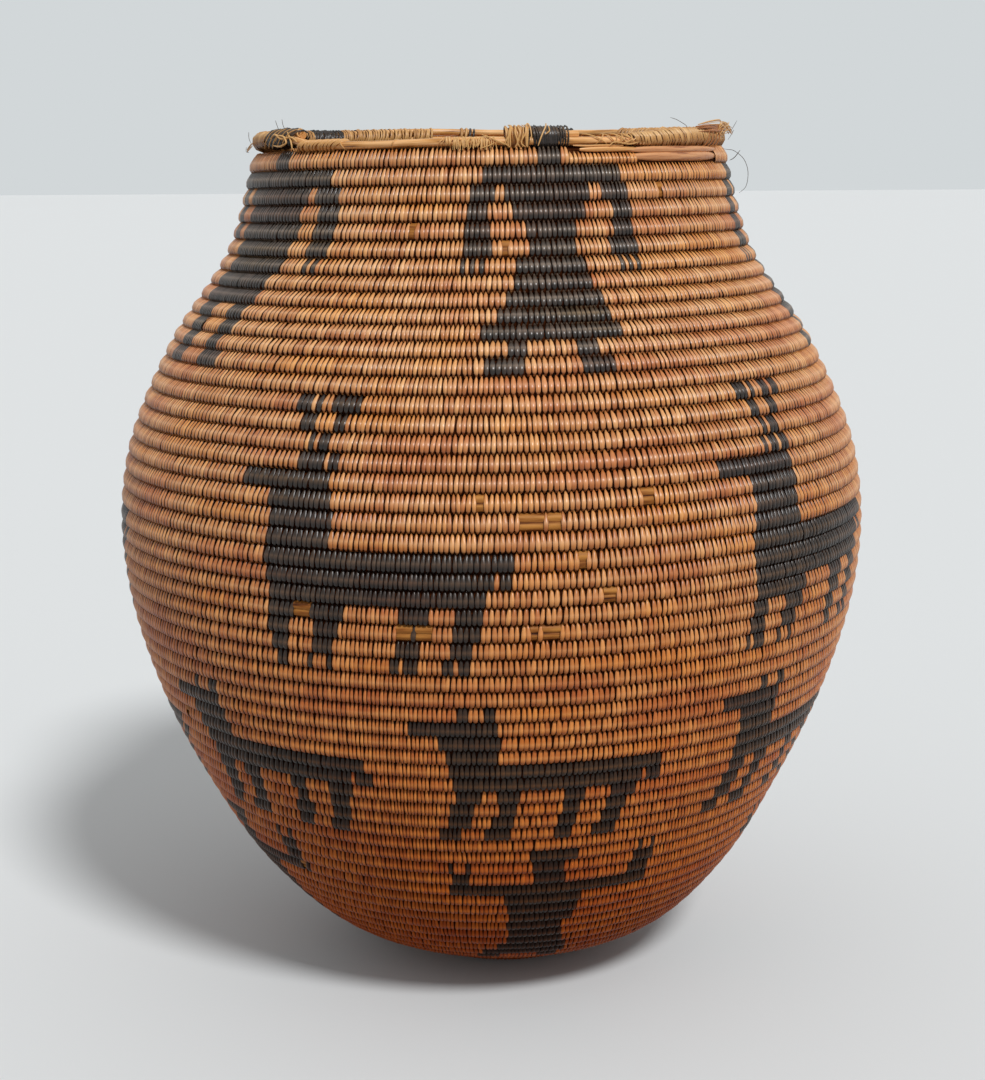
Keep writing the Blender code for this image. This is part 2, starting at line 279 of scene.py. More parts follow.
def splint_material(name, stops, painted_shade_colour, painted_highlight_colour, roughness, browned_and_shaded=False,
                    tip_highlights=False):
    """Split stem, sewn flat: fine fibres run along each stitch.

    The stops colour one stitch from another. The painted shade colour darkens a stitch where it
    dives under its neighbours and along its edges, and the painted highlight colour lies on its
    crest.
    """
    material, tree, shader = new_material(name)
    tint = add_node(tree, "ShaderNodeAttribute", attribute_name="tint").outputs["Fac"]
    stem = add_node(tree, "ShaderNodeValToRGB", {"Fac": tint}, stops)
    splint = add_node(tree, "ShaderNodeUVMap", uv_map="splint")
    across = add_node(tree, "ShaderNodeSeparateXYZ", {"Vector": splint}).outputs
    # the front of a stitch runs from 0 at its foot to 0.6 at its tip
    # painted shade at the foot and at the tip of a stitch, where it dives under its neighbours
    ends = add_node(tree, "ShaderNodeValToRGB", {"Fac": across["Y"]}, (
        (0.0, "#E0E0E0"), (0.09, "#A0A0A0"), (0.16, "#484848"), (0.23, "#101010"),
        (0.44, "#000000"), (0.60, "#000000" if tip_highlights else "#505050")))
    # a painted highlight across the crest, and on the tip where tip highlights are asked for
    crest = add_node(tree, "ShaderNodeValToRGB", {"Fac": across["Y"]}, (
        (0.17, "#000000"), (0.24, "#A8A8A8"), (0.32, "#DCDCDC"), (0.40, "#686868"),
        (0.50, "#484848"), (0.57, "#F0F0F0" if tip_highlights else "#484848")))
    # painted shade lies along both edges, so that each stitch keeps its thin dark outline
    edges = add_node(tree, "ShaderNodeValToRGB", {"Fac": across["X"]}, (
        (0.0, "#FAFAFA"), (0.07, "#D0D0D0"), (0.14, "#000000"), (0.66, "#000000"),
        (0.73, "#D0D0D0"), (0.80, "#FAFAFA")))
    # the painted highlight on the crest comes and goes in patches some 40 mm across
    place = add_node(tree, "ShaderNodeTexCoord").outputs["Object"]
    patches = add_node(tree, "ShaderNodeTexNoise", {"Vector": place, "Scale": 28.0, "Detail": 3.0})
    painted_highlight_here = add_node(tree, "ShaderNodeMath", {0: crest, 1: patches}, operation="MULTIPLY")
    # painted shade at the ends, the painted highlight on the crest, and painted shade along the
    # edges
    colour = stem
    for share, shade in ((ends, painted_shade_colour), (painted_highlight_here, painted_highlight_colour), (edges, painted_shade_colour)):
        colour = add_node(tree, "ShaderNodeMix", {
            "Factor": share, 6: colour, 7: linear(shade)}, data_type="RGBA").outputs[2]
    if browned_and_shaded:
        # handling and age make the lower body browner, and painted shade darkens it further
        # towards the foot
        height = add_node(tree, "ShaderNodeSeparateXYZ", {"Vector": place})
        share = add_node(tree, "ShaderNodeMath", {0: height.outputs["Z"], 1: BROWNED_AND_SHADED_HEIGHT},
                         operation="DIVIDE")
        low = add_node(tree, "ShaderNodeValToRGB", {"Fac": share}, LOW_BODY_BROWN_AND_SHADE_STOPS)
        # splints of one harvest sit together, redder or yellower over 40 mm of a few rows
        squeezed = add_node(tree, "ShaderNodeVectorMath", {0: place, 1: (1.0, 1.0, 3.5)},
                            operation="MULTIPLY")
        batches = add_node(tree, "ShaderNodeTexNoise", {
            "Vector": squeezed, "Scale": 24.0, "Detail": 2.0})
        harvest = add_node(tree, "ShaderNodeValToRGB", {"Fac": batches}, HARVEST_STOPS)
        for veil in (low, harvest):
            colour = add_node(tree, "ShaderNodeMix", {"Factor": 1.0, 6: colour, 7: veil},
                              data_type="RGBA", blend_type="MULTIPLY").outputs[2]
        # the lower body has lost its polish
        polish = add_node(tree, "ShaderNodeMapRange", {
            "Value": share, "From Min": 0.06, "From Max": 0.68, "To Min": 0.05, "To Max": 0.5})
        set_inputs(tree, shader, {"Specular IOR Level": polish})
    # fibres 0.15 mm wide, drawn long
    stretched = add_node(tree, "ShaderNodeVectorMath", {0: splint, 1: (14.0, 1.6, 1.0)},
                         operation="MULTIPLY")
    lifted = add_node(tree, "ShaderNodeVectorMath", {0: stretched, 1: tint}, operation="ADD")
    fibres = add_node(tree, "ShaderNodeTexNoise", {"Vector": lifted, "Scale": 1.0, "Detail": 2.0})
    streak = add_node(tree, "ShaderNodeMapRange", {
        "Value": fibres, "From Min": 0.3, "From Max": 0.7, "To Min": 0.86, "To Max": 1.12})
    grained = add_node(tree, "ShaderNodeVectorMath", {0: colour, 3: streak}, operation="SCALE")
    bump = add_node(tree, "ShaderNodeBump", {
        "Strength": 0.35, "Distance": 0.0001, "Height": fibres})
    set_inputs(tree, shader, {"Base Color": grained, "Normal": bump, "Roughness": roughness})
    return material


# %% The splints
# each splint gets its stitch colours, the colour of its painted shade, the colour of its painted
# highlight and its roughness
# willow, polished by years of handling: golden, with a soft gloss
willow_splint = splint_material(
    "split_willow_splint",
    ((0.0, "#BE7A44"), (0.3, "#D09054"), (0.6, "#DE9E62"), (0.9, "#ECB478"), (1.0, "#C87E46")),
    "#4A1E08", "#FFDEBC", 0.33, True)
# devil's claw near the rim, greyed by light, with painted highlights on its tips
faded_claw_splint = splint_material(
    "faded_devils_claw_splint",
    ((0.0, "#251F1A"), (0.5, "#382F28"), (1.0, "#4E423A")),
    "#080504", "#B4A292", 0.29, True, True)
# devil's claw lower down: black, with a painted highlight and narrow glints along its crests
claw_splint = splint_material(
    "devils_claw_splint",
    ((0.0, "#1C1613"), (0.5, "#2A211C"), (1.0, "#3C312A")),
    "#060302", "#8C786A", 0.31, True)
# the binding of the rim, dry and pale as straw
straw_splint = splint_material(
    "pale_rim_splint",
    ((0.0, "#B27A3E"), (0.5, "#CE9754"), (1.0, "#E2B070")),
    "#5C3010", "#F4D29C", 0.42)

# %% Rod materials
def rod_material(name, pale_colour, deep_colour, crack_colour, roughness, sheen_level=0.5):
    """Peeled willow rod: golden, with long dark cracks that follow its grain."""
    material, tree, shader = new_material(name)
    # the map runs in metres along the rod and once round it: grain 17 mm long, 7 lines round
    rod = add_node(tree, "ShaderNodeUVMap", uv_map="rod")
    stretched = add_node(tree, "ShaderNodeVectorMath", {0: rod, 1: (60.0, 7.0, 1.0)},
                         operation="MULTIPLY")
    grain = add_node(tree, "ShaderNodeTexNoise", {
        "Vector": stretched, "Scale": 1.0, "Detail": 4.0})
    wood = add_node(tree, "ShaderNodeValToRGB", {"Fac": grain}, (
        (0.33, crack_colour), (0.42, deep_colour), (0.62, pale_colour)))
    bump = add_node(tree, "ShaderNodeBump", {
        "Strength": 0.5, "Distance": 0.0002, "Height": grain})
    set_inputs(tree, shader, {"Base Color": wood, "Normal": bump, "Roughness": roughness,
                              "Specular IOR Level": sheen_level})
    return material


# peeled willow on the rim, and the same where stitches are gone; where stitches still lie over it,
# dirt and painted shade darken it
bare_rod = rod_material("peeled_willow_rod", "#F6C084", "#D2954F", "#7A451E", 0.36)
worn_rod = rod_material("worn_coil_rod", "#C08440", "#8E5422", "#421C06", 0.55, 0.2)
buried_rod_dirt_and_shade = rod_material("buried_willow_rod_dirt_and_painted_shade", "#4E2408", "#341604", "#1C0B02", 0.9, 0.1)
# thicker rods of the second turn, pale binding, brown splint ends and dark ones
reddish_rod = rod_material("reddish_rim_rod", "#E2A874", "#C6885A", "#8A5230", 0.4)
rim_straw = rod_material("rim_straw", "#E9BE82", "#D39C5C", "#8A5A2A", 0.42)
brown_strand = rod_material("brown_splint_end", "#B9793F", "#9A5C2C", "#5A2E12", 0.45)
claw_splint_plain = rod_material("devils_claw_end", "#3A302B", "#241C18", "#0E0907", 0.35)

# %% Fibre materials
def fibre_material(name, colour):
    """A strand of dry plant as thin as a hair: too thin to show a grain, so one dull colour."""
    material, tree, shader = new_material(name)
    set_inputs(tree, shader, {"Base Color": linear(colour), "Roughness": 0.5})
    return material


fibre = fibre_material("loose_splint_fibre", "#D8A868")
hair = fibre_material("loose_dark_hair", "#4A3A2E")
print("Materials made:", len(bpy.data.materials))

# %% [markdown]
# ## Where the stitches go
# A sewer looks at the turn below and passes the splint between two of its stitches, so
# each stitch stands over a gap. Where the basket widens a stitch is added now and then.
# The walk below does the same, one stitch after another up the spiral.

# %% Spacing of the stitches
SPACING_STOPS = (  # turn of the coil, spacing in metres
    (0.0, 0.00175), (18.0, 0.00177), (30.0, 0.00195), (44.0, 0.00214), (56.0, 0.00200),
    (67.0, 0.00180))
FIRST_SEWN_TURN = 1.0
EVENING_REACH = 4  # stitches on each side that even out the place of one
PLACE_SPREAD = 0.05  # of the spacing
ADDED_PLACES = (0.25, 0.75)  # of a gap that gets two stitches
ADDING_POINTS = (0.1, 0.9)  # of a stitch owed, between which one is added by chance


def stitches_in_turn(turn):
    """How many stitches fit round the basket at a turn."""
    turns, spacings = zip(*SPACING_STOPS)
    radius = outline_at(arc_at_turn(turn + 0.5))[0]
    return 2 * math.pi * float(radius) / float(np.interp(turn, turns, spacings))


def walk_stitches(seed=7):
    """The turn coordinate of every stitch, from the knot up to the rim."""
    chance = random.Random(seed)
    first_count = round(stitches_in_turn(FIRST_SEWN_TURN + 0.5))
    raw = [FIRST_SEWN_TURN + i / first_count for i in range(first_count + 1)]
    walked = list(raw)
    below, owed, threshold = 0, 0.0, 0.5
    while walked[-1] < SEWN_TURNS:
        low, high = walked[below], walked[below + 1]
        middle = (low + high) / 2 + 1
        count_below = stitches_in_turn(middle - 1)
        owed += (stitches_in_turn(middle) - count_below) / count_below
        if owed > threshold:
            # two stitches over this gap instead of one
            raw += [low + (high - low) * share + 1 for share in ADDED_PLACES]
            owed -= 1.0
            threshold = chance.uniform(*ADDING_POINTS)
        elif owed < -threshold:
            owed += 1.0
            threshold = chance.uniform(*ADDING_POINTS)
        else:
            raw.append(middle)
        below += 1
        while len(walked) < len(raw) - EVENING_REACH:
            here = len(walked)
            window = raw[here - EVENING_REACH:here + EVENING_REACH + 1]
            walked.append(sum(window) / len(window))
    return np.array(walked)


stitch_turns = walk_stitches()
stitch_turns = stitch_turns[stitch_turns < COIL_END_TURN]
gaps = np.append(np.diff(stitch_turns), np.diff(stitch_turns)[-1])
dice = np.random.default_rng(11)
stitch_turns = stitch_turns + gaps * dice.normal(0.0, PLACE_SPREAD, len(gaps))
stitch_degrees = degrees_at_turn(stitch_turns)
stitch_radii = outline_at(arc_at_turn(stitch_turns + 0.5))[0]
stitch_spacings = gaps * 2 * math.pi * stitch_radii
print("Stitches:", len(stitch_turns))

# %% [markdown]
# ## The figures
# The dark figures are people with spread arms, deer, and small two-eared animals. A weaver
# counts them out row by row. Here a row is counted down from the rim, and each stroke runs
# from one distance to another, in millimetres from the middle of the figure. Fingers are a
# row of which only every second stitch is dark. A figure stands at several azimuths.

# %% Figures as named strokes
TALL_PEOPLE = {
    0: [(-8, 5.5)], 1: [(-4.7, 2.9)], 2: [(-23.5, 23.2)],
    3: [(-27, -19), (-15.7, 11.4), (15.8, 25.3)],
    4: [(-28.9, -21.7), (-13.5, 8.9), (18.6, 26.3)],
    5: [(-29.1, -21.8), (-10.4, 5.9), (17.9, 26.1)],
    6: [(-31, -21.4), (-10.5, 5.2), (17, 27)], 7: [(-13.9, 6.7)], 8: [(-15.5, 9.2)],
    9: [(-19.8, 11.1)], 10: [(-23.9, 12.9)], 11: [(-28.5, 15)], 12: [(-21.5, -15.3), (0.2, 6.9)],
    13: [(-28.8, -17), (0.4, 11.4)]}
FINGERS = {7: [(-32.2, -23.3), (18, 27)]}
LEFT_PERSON = {
    0: [(-8, 1)], 1: [(-8, 0.8)], 2: [(-42, 23.8)], 3: [(-37, -29), (-22.7, 14.2), (18, 27.3)],
    4: [(-37, -29), (-21.3, 12.3), (20.8, 28.5)], 5: [(-37, -30), (-23.7, 12.5), (20.4, 28.2)],
    6: [(-23.9, 10.2), (19.1, 29)], 7: [(-24, 9.3)], 8: [(-29.5, 6.6)], 9: [(-30.7, 5.6)],
    10: [(-30.5, -17.6), (-6.3, 3.4)], 11: [(-29, -18), (-6.2, 2.4)],
    12: [(-30.5, -20.1), (-8.1, -1)], 13: [(-36, -23), (-9.5, 1.8)]}
LEFT_FINGERS = {7: [(21, 28)]}
DEER = {
    15: [(-22, -17), (-15.5, -13.5), (-9, -6.5), (-5, 0)], 16: [(-19, -15.5), (-8.5, -5)],
    17: [(-15.5, -13.5), (-12, -8.5)], 18: [(-18.5, -16), (-14.5, -11), (-8.5, -5)],
    19: [(-39.5, -7)], 20: [(-28, -6)], 21: [(-28, -6)], 22: [(-28, -6)], 23: [(-29, 50)],
    24: [(-28.5, 44.5), (46, 50)], 25: [(-28, 42)],
    26: [(-28, -2.5), (15, 25), (32.5, 40.5)],
    27: [(-28.5, -21), (-12.5, -4), (15.5, 23), (32, 40)],
    28: [(-29, -22), (-13.5, -6), (14, 21.5), (31, 38)],
    29: [(-29.5, -28), (-26.5, -22.5), (-15.5, -13.5), (-9.5, -7), (12, 14), (15.5, 20.5),
         (28, 31.5), (33.5, 37)]}
SMALL_ANIMALS = {
    32: [(-29, -25.5), (-20, -16.5)], 33: [(-43.5, -16.5)], 34: [(-34.5, -15.5)],
    35: [(-32, -15.5)], 36: [(-30.5, 38)], 37: [(-29.5, 32), (34, 38.5)],
    38: [(-28.5, -20.5), (-15, -8.5), (6.5, 13), (22.5, 30.5)],
    39: [(-29, -21.5), (-14.5, -9), (7, 12), (20.5, 27)],
    40: [(-30, -22.5), (-15.5, -9.5), (5.5, 11.5), (20, 26)],
    41: [(-32.5, -25.5), (-18.5, -11), (3.5, 9), (17, 24)]}
LOW_PEOPLE = {
    43: [(-6.9, 9.6), (30, 32), (35, 37.5)],
    44: [(-33, -31), (-28, -25.5), (-5, 5.3), (29, 36.5)],
    45: [(-32, -25.5), (-4.7, 5.5), (27.5, 35)],
    46: [(-31.7, 35)], 47: [(-14.5, 12.4)], 48: [(-13.2, 10.9)], 49: [(-12.4, 9)],
    50: [(-11.5, 6.6)], 51: [(-11.2, 6.6)], 52: [(-11.7, 7.1)], 53: [(-14.6, 9.3)],
    54: [(-18.5, 10.3)], 55: [(-19.9, -12.2), (0.6, 6.6)]}
FIGURES = {
    "tall_people": (TALL_PEOPLE, (14, 87.5, 157, 232)),
    "left_person": (LEFT_PERSON, (308,)),
    "deer": (DEER, (-19, 51, 123, 196, 268)),
    "small_animals": (SMALL_ANIMALS, (8, 56, 101, 146, 190, 234, 278, 322.2)),
    "low_people": (LOW_PEOPLE, (10, 82, 154, 226, 298)),
}
SPREAD_FINGERS = {"tall_people": FINGERS, "left_person": LEFT_FINGERS}

# %% Which stitches are dark
def row_and_swing(centre_degrees):
    """Each stitch's row under the rim, and its swing in degrees, seen from a figure."""
    swing = (stitch_degrees - centre_degrees + 180.0) % 360.0 - 180.0
    centre = centre_degrees - 360.0 if centre_degrees > COIL_END_DEGREES else centre_degrees
    row = SEWN_TURNS - SEAM_DEGREES / 360.0 - stitch_turns + (centre + swing) / 360.0
    return np.rint(row), swing


def stitches_under(chart, centre_degrees):
    """Which stitches lie under a figure's strokes."""
    rows, swing = row_and_swing(centre_degrees)
    offsets = np.radians(swing) * stitch_radii * 1000
    under = np.zeros(len(stitch_turns), bool)
    for row, strokes in chart.items():
        for left, right in strokes:
            under |= (rows == row) & (offsets > left) & (offsets < right)
    return under


dark_group = np.full(len(stitch_turns), "", dtype="U20")
for group, (chart, centres) in FIGURES.items():
    for centre_degrees in centres:
        dark_group[stitches_under(chart, centre_degrees)] = group
        if group in SPREAD_FINGERS:
            fingers = stitches_under(SPREAD_FINGERS[group], centre_degrees)
            dark_group[fingers & (np.arange(len(stitch_turns)) % 2 == 0)] = group
print({group: int((dark_group == group).sum()) for group in FIGURES})

# %% [markdown]
# ## Wear
# Old splints break and drop out, and the bare rods show. The worn places that the
# photograph shows are listed by row and azimuth, and a few single stitches are missing too.

# %% Missing stitches
WORN_SPOTS = (  # row, from degrees, to degrees
    (1, 34.5, 65.5), (20, -2.0, -0.9), (20, 20.9, 22.5), (21, 3.5, 6.9), (21, 7.8, 8.9),
    (25, 15.0, 16.5), (26, -27.4, -24.6), (27, -12.4, -10.5), (27, -10.1, -7.8), (27, 6.7, 8.8))
MISSING_SHARE = 0.0012
missing = dice.random(len(stitch_turns)) < MISSING_SHARE
front_rows, front_swing = row_and_swing(0.0)
for row, start, end in WORN_SPOTS:
    missing |= (front_rows == row) & (front_swing > start) & (front_swing < end)
print("Missing stitches:", int(missing.sum()))

# %% [markdown]
# ## One stitch
# A stitch is a ring of flat splint round the coil. On the outside it is an almond, rounded
# at the foot and pointed at the top, where it slips between two stitches of the next turn.
# One ring of 36 faces is made here, and Geometry Nodes put a copy at every place.

# %% The stitch's mesh
STITCH_RING = (  # outwards, upwards, half width, in half thicknesses and half pitches
    (0.70, -1.12, 0.42), (0.94, -0.86, 0.84), (1.03, -0.30, 1.00), (0.95, 0.04, 0.98),
    (0.72, 0.62, 0.74), (0.36, 1.24, 0.10), (-0.55, 1.06, 0.16), (-0.98, 0.0, 0.85),
    (-0.10, -1.14, 0.34))
FRONT_POINTS = 6
FRONT_SHARE = 0.6  # of the map, from the foot of a stitch to its tip
COLUMNS = ((-1.0, 1.0), (-0.5, 0.22), (0.5, 0.22), (1.0, 1.0))  # across: place, share of crown
COLUMN_MAP = (0.0, 0.27, 0.53, 0.8, 1.0)
CROWN = 0.11  # how far the edges of a stitch lie below its crest
LEAN = 0.12  # how far its top lies along the coil from its foot
STITCH_CREASE_DEGREES = 75


def mapped_object(name, points, faces, map_name, maps, crease_degrees):
    """A smooth object of points and faces, with its map, and creased past an angle."""
    mesh = bpy.data.meshes.new(name)
    mesh.from_pydata(points, [], faces)
    layer = mesh.uv_layers.new(name=map_name)
    layer.data.foreach_set("uv", np.array(maps, np.float32).ravel())
    mesh.shade_smooth()
    mesh.set_sharp_from_angle(angle=math.radians(crease_degrees))
    return new_object(name, mesh)


# %% A ring from its profile
def ring_mesh(name, ring, crown, lean):
    """A closed ring of splint. Local X runs along the coil, Y inwards and Z upwards."""
    path = np.array([(out, up) for out, up, _ in ring])
    ahead = np.roll(path, -1, 0) - np.roll(path, 1, 0)
    ahead /= np.linalg.norm(ahead, axis=1)[:, None]
    normal = np.stack([ahead[:, 1], -ahead[:, 0]], 1)
    points, faces, maps = [], [], []
    for (out, up, width), away in zip(ring, normal):
        for side, drop in COLUMNS:
            deep = (out, up) - away * crown * drop
            points.append((side * width + lean * up, -deep[0], deep[1]))
    count, across = len(ring), len(COLUMNS)
    behind = count - FRONT_POINTS + 1
    ups = [FRONT_SHARE * i / (FRONT_POINTS - 1) for i in range(FRONT_POINTS)]
    ups += [FRONT_SHARE + (1 - FRONT_SHARE) * (i + 1) / behind for i in range(behind)]
    for i in range(count):
        for j in range(across):
            after, beside = (i + 1) % count, (j + 1) % across
            faces.append((i * across + j, i * across + beside,
                          after * across + beside, after * across + j))
            maps += [(COLUMN_MAP[j], ups[i]), (COLUMN_MAP[j + 1], ups[i]),
                     (COLUMN_MAP[j + 1], ups[i + 1]), (COLUMN_MAP[j], ups[i + 1])]
    return mapped_object(name, points, faces, "splint", maps, STITCH_CREASE_DEGREES)


stitch_ring = ring_mesh("stitch_ring", STITCH_RING, CROWN, LEAN)
print("Faces of one stitch:", len(stitch_ring.data.polygons))

# %% [markdown]
# ## Sewing with Geometry Nodes
# The tree takes guide points and one ring. Each guide point carries the ring's turn, its
# half width and half height. The tree adds chance from a fixed seed, gives each stitch its
# own tint and its own cell of the texture map, and ends as real faces with one material.

# %% The sewing tree
TINT_SEED_STEP = 101.0


def sewing_tree():
    """The tree of nodes that puts a ring on every guide point."""
    tree = bpy.data.node_groups.new("sew_stitches", "GeometryNodeTree")
    for name, kind in (
            ("Guide", "NodeSocketGeometry"), ("Ring", "NodeSocketObject"),
            ("Half thickness", "NodeSocketFloat"), ("Width spread", "NodeSocketFloat"),
            ("Cell size", "NodeSocketFloat"), ("Seed", "NodeSocketInt"),
            ("Splint", "NodeSocketMaterial")):
        tree.interface.new_socket(name, in_out="INPUT", socket_type=kind)
    tree.interface.new_socket("Stitches", in_out="OUTPUT", socket_type="NodeSocketGeometry")
    given = add_node(tree, "NodeGroupInput").outputs
    carried = {}
    for name, kind in (
            ("turning", "FLOAT_VECTOR"), ("half_width", "FLOAT"), ("half_height", "FLOAT"),
            ("cell", "FLOAT_VECTOR"), ("splint", "FLOAT_VECTOR")):
        carried[name] = add_node(tree, "GeometryNodeInputNamedAttribute", {"Name": name},
                                 data_type=kind).outputs["Attribute"]
    # chance makes each stitch a little wider or narrower
    least = add_node(tree, "ShaderNodeMath", {0: 1.0, 1: given["Width spread"]},
                     operation="SUBTRACT")
    most = add_node(tree, "ShaderNodeMath", {0: 1.0, 1: given["Width spread"]}, operation="ADD")
    chance = add_node(tree, "FunctionNodeRandomValue", {
        2: least, 3: most, "Seed": given["Seed"]}, data_type="FLOAT")
    wide = add_node(tree, "ShaderNodeMath", {
        0: carried["half_width"], 1: chance.outputs[1]}, operation="MULTIPLY")
    size = add_node(tree, "ShaderNodeCombineXYZ", {
        "X": wide, "Y": given["Half thickness"], "Z": carried["half_height"]})
    # a ring on every guide point
    ring = add_node(tree, "GeometryNodeObjectInfo", {"Object": given["Ring"]})
    turned = add_node(tree, "FunctionNodeEulerToRotation", {"Euler": carried["turning"]})
    placed = add_node(tree, "GeometryNodeInstanceOnPoints", {
        "Points": given["Guide"], "Instance": ring.outputs["Geometry"],
        "Rotation": turned, "Scale": size})
    # a tint for each ring
    other_seed = add_node(tree, "ShaderNodeMath", {0: given["Seed"], 1: TINT_SEED_STEP},
                          operation="ADD")
    tint = add_node(tree, "FunctionNodeRandomValue", {
        2: 0.0, 3: 1.0, "Seed": other_seed}, data_type="FLOAT")
    tinted = add_node(tree, "GeometryNodeStoreNamedAttribute", {
        "Geometry": placed, "Name": "tint", "Value": tint.outputs[1]},
        data_type="FLOAT", domain="INSTANCE")
    real = add_node(tree, "GeometryNodeRealizeInstances", {"Geometry": tinted})
    # a cell of the texture map for each ring
    inside = add_node(tree, "ShaderNodeVectorMath", {
        0: carried["splint"], "Scale": given["Cell size"]}, operation="SCALE")
    baked_at = add_node(tree, "ShaderNodeVectorMath", {0: carried["cell"], 1: inside},
                        operation="ADD")
    mapped = add_node(tree, "GeometryNodeStoreNamedAttribute", {
        "Geometry": real, "Name": "OFBake", "Value": baked_at},
        data_type="FLOAT2", domain="CORNER")
    dressed = add_node(tree, "GeometryNodeSetMaterial", {
        "Geometry": mapped, "Material": given["Splint"]})
    add_node(tree, "NodeGroupOutput", {"Stitches": dressed})
    return tree


sewing = sewing_tree()
print("Nodes in the sewing tree:", len(sewing.nodes))

# %% Sew one piece
CELL_MARGIN = 0.12  # of a cell, left free so that neighbours don't bleed into it


def turning_angles(along, outwards, upwards, lean_degrees):
    """Euler angles that lay a ring's X along the coil, its Y inwards and its Z upwards."""
    angles = np.zeros((len(along), 3))
    for i in range(len(along)):
        turned = Matrix((along[i], -outwards[i], upwards[i])).transposed()
        turned = turned @ Matrix.Rotation(math.radians(lean_degrees[i]), 3, "Y")
        angles[i] = turned.to_euler()
    return angles


def sew_piece(name, ring, splint, places, angles, half_widths, half_heights,
              half_thickness, width_spread, seed):
    """One piece with a ring at every place. The guide points go once it is sewn."""
    guide_mesh = bpy.data.meshes.new(name + "_guide")
    guide_mesh.from_pydata(places.tolist(), [], [])
    grid = math.ceil(math.sqrt(len(places)))
    numbers = np.arange(len(places))
    cells = np.stack([numbers % grid, numbers // grid, numbers * 0], 1) / grid
    cells[:, :2] += CELL_MARGIN / 2 / grid
    carried = {"turning": angles, "cell": cells, "half_width": half_widths,
               "half_height": half_heights}
    for attribute, values in carried.items():
        kind, field = ("FLOAT_VECTOR", "vector") if values.ndim == 2 else ("FLOAT", "value")
        layer = guide_mesh.attributes.new(attribute, kind, "POINT")
        layer.data.foreach_set(field, np.ascontiguousarray(values, np.float32).ravel())
    guide = new_object(name + "_guide", guide_mesh)
    modifier = guide.modifiers.new("sewing", "NODES")
    modifier.node_group = sewing
    values = {"Ring": ring, "Half thickness": half_thickness, "Width spread": width_spread,
              "Cell size": (1 - CELL_MARGIN) / grid, "Seed": seed, "Splint": splint}
    for socket in sewing.interface.items_tree:
        if socket.in_out == "INPUT" and socket.name in values:
            modifier[socket.identifier] = values[socket.name]
    graph = bpy.context.evaluated_depsgraph_get()
    mesh = bpy.data.meshes.new_from_object(
        guide.evaluated_get(graph), preserve_all_data_layers=True, depsgraph=graph)
    mesh.name = name
    for attribute in carried:
        if attribute in mesh.attributes:
            mesh.attributes.remove(mesh.attributes[attribute])
    guide.modifiers.remove(modifier)
    bpy.data.objects.remove(guide)
    return new_object(name, mesh)


def fix_piece(piece, node=None):
    """Fixes a piece to the basket's one body. It may stand for a node of the CAD model."""
    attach(piece, "root")
    if node:
        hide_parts(node)


# %% [markdown]
# ## Sewing the coil
# Each band of two turns is sewn as one piece, which stands for the CAD model's band of the
# same turns. The dark figures run over many bands, so each kind of figure is its own piece.

# %% Sizes and places of the coil's stitches
HALF_WIDTH_SHARE = 0.47  # of the spacing
STITCH_THICKNESS = COIL_THICKNESS / 2 / max(out for out, _, _ in STITCH_RING)
WIDTH_SPREAD = 0.10
HEIGHT_SPREAD = 0.02
LEAN_SPREAD_DEGREES = 2.2
SHORT_ROW_SPAN = (17.5, 34.5)  # degrees: bare rods lie over the short stitches of row 1 here
SHORT_ROW_SHARE = 0.66
SHORT_ROW_DROP = 0.0010
coil_places, coil_along, coil_out, coil_up = coil_frame(stitch_turns)
coil_angles = turning_angles(
    coil_along, coil_out, coil_up, dice.normal(0.0, LEAN_SPREAD_DEGREES, len(stitch_turns)))
half_widths = stitch_spacings * HALF_WIDTH_SHARE
half_heights = pitch_at_turn(stitch_turns) / 2 * dice.normal(1.0, HEIGHT_SPREAD, len(stitch_turns))
short = (front_rows == 1) & (front_swing > SHORT_ROW_SPAN[0]) & (front_swing < SHORT_ROW_SPAN[1])
half_heights[short] *= SHORT_ROW_SHARE
coil_places[short] -= coil_up[short] * SHORT_ROW_DROP


def sew_stitches(name, chosen, splint, seed):
    """Sews the chosen stitches, apart from the missing ones."""
    chosen = chosen & ~missing
    return sew_piece(name, stitch_ring, splint, coil_places[chosen], coil_angles[chosen],
                     half_widths[chosen], half_heights[chosen], STITCH_THICKNESS, WIDTH_SPREAD,
                     seed)


# %% Sew the bands and the figures
FIRST_FIGURE_SEED = 50
coil_bands = [("start_knot", 0)]
coil_bands += [(f"base_coil_{i + 1:02d}", 2 + 2 * i) for i in range(3)]
coil_bands += [(f"wall_coil_{i + 1:02d}", FOOT_TURNS + 2 * i) for i in range(30)]
for number, (node, first) in enumerate(coil_bands):
    here = (stitch_turns >= first) & (stitch_turns < min(first + 2, SEWN_TURNS))
    band = sew_stitches(node + "_stitches", here & (dark_group == ""), willow_splint, number)
    fix_piece(band, node)
print("Bands sewn:", len(coil_bands))
for number, group in enumerate(FIGURES):
    black = faded_claw_splint if group in SPREAD_FINGERS else claw_splint
    figure = sew_stitches(
        group + "_stitches", dark_group == group, black, FIRST_FIGURE_SEED + number)
    fix_piece(figure)
    print(group, "faces:", len(figure.data.polygons))

# %% [markdown]
# ## The knot in the middle of the foot
# The coil starts as a tight knot. Here a few narrow stitches close the middle of the spiral.

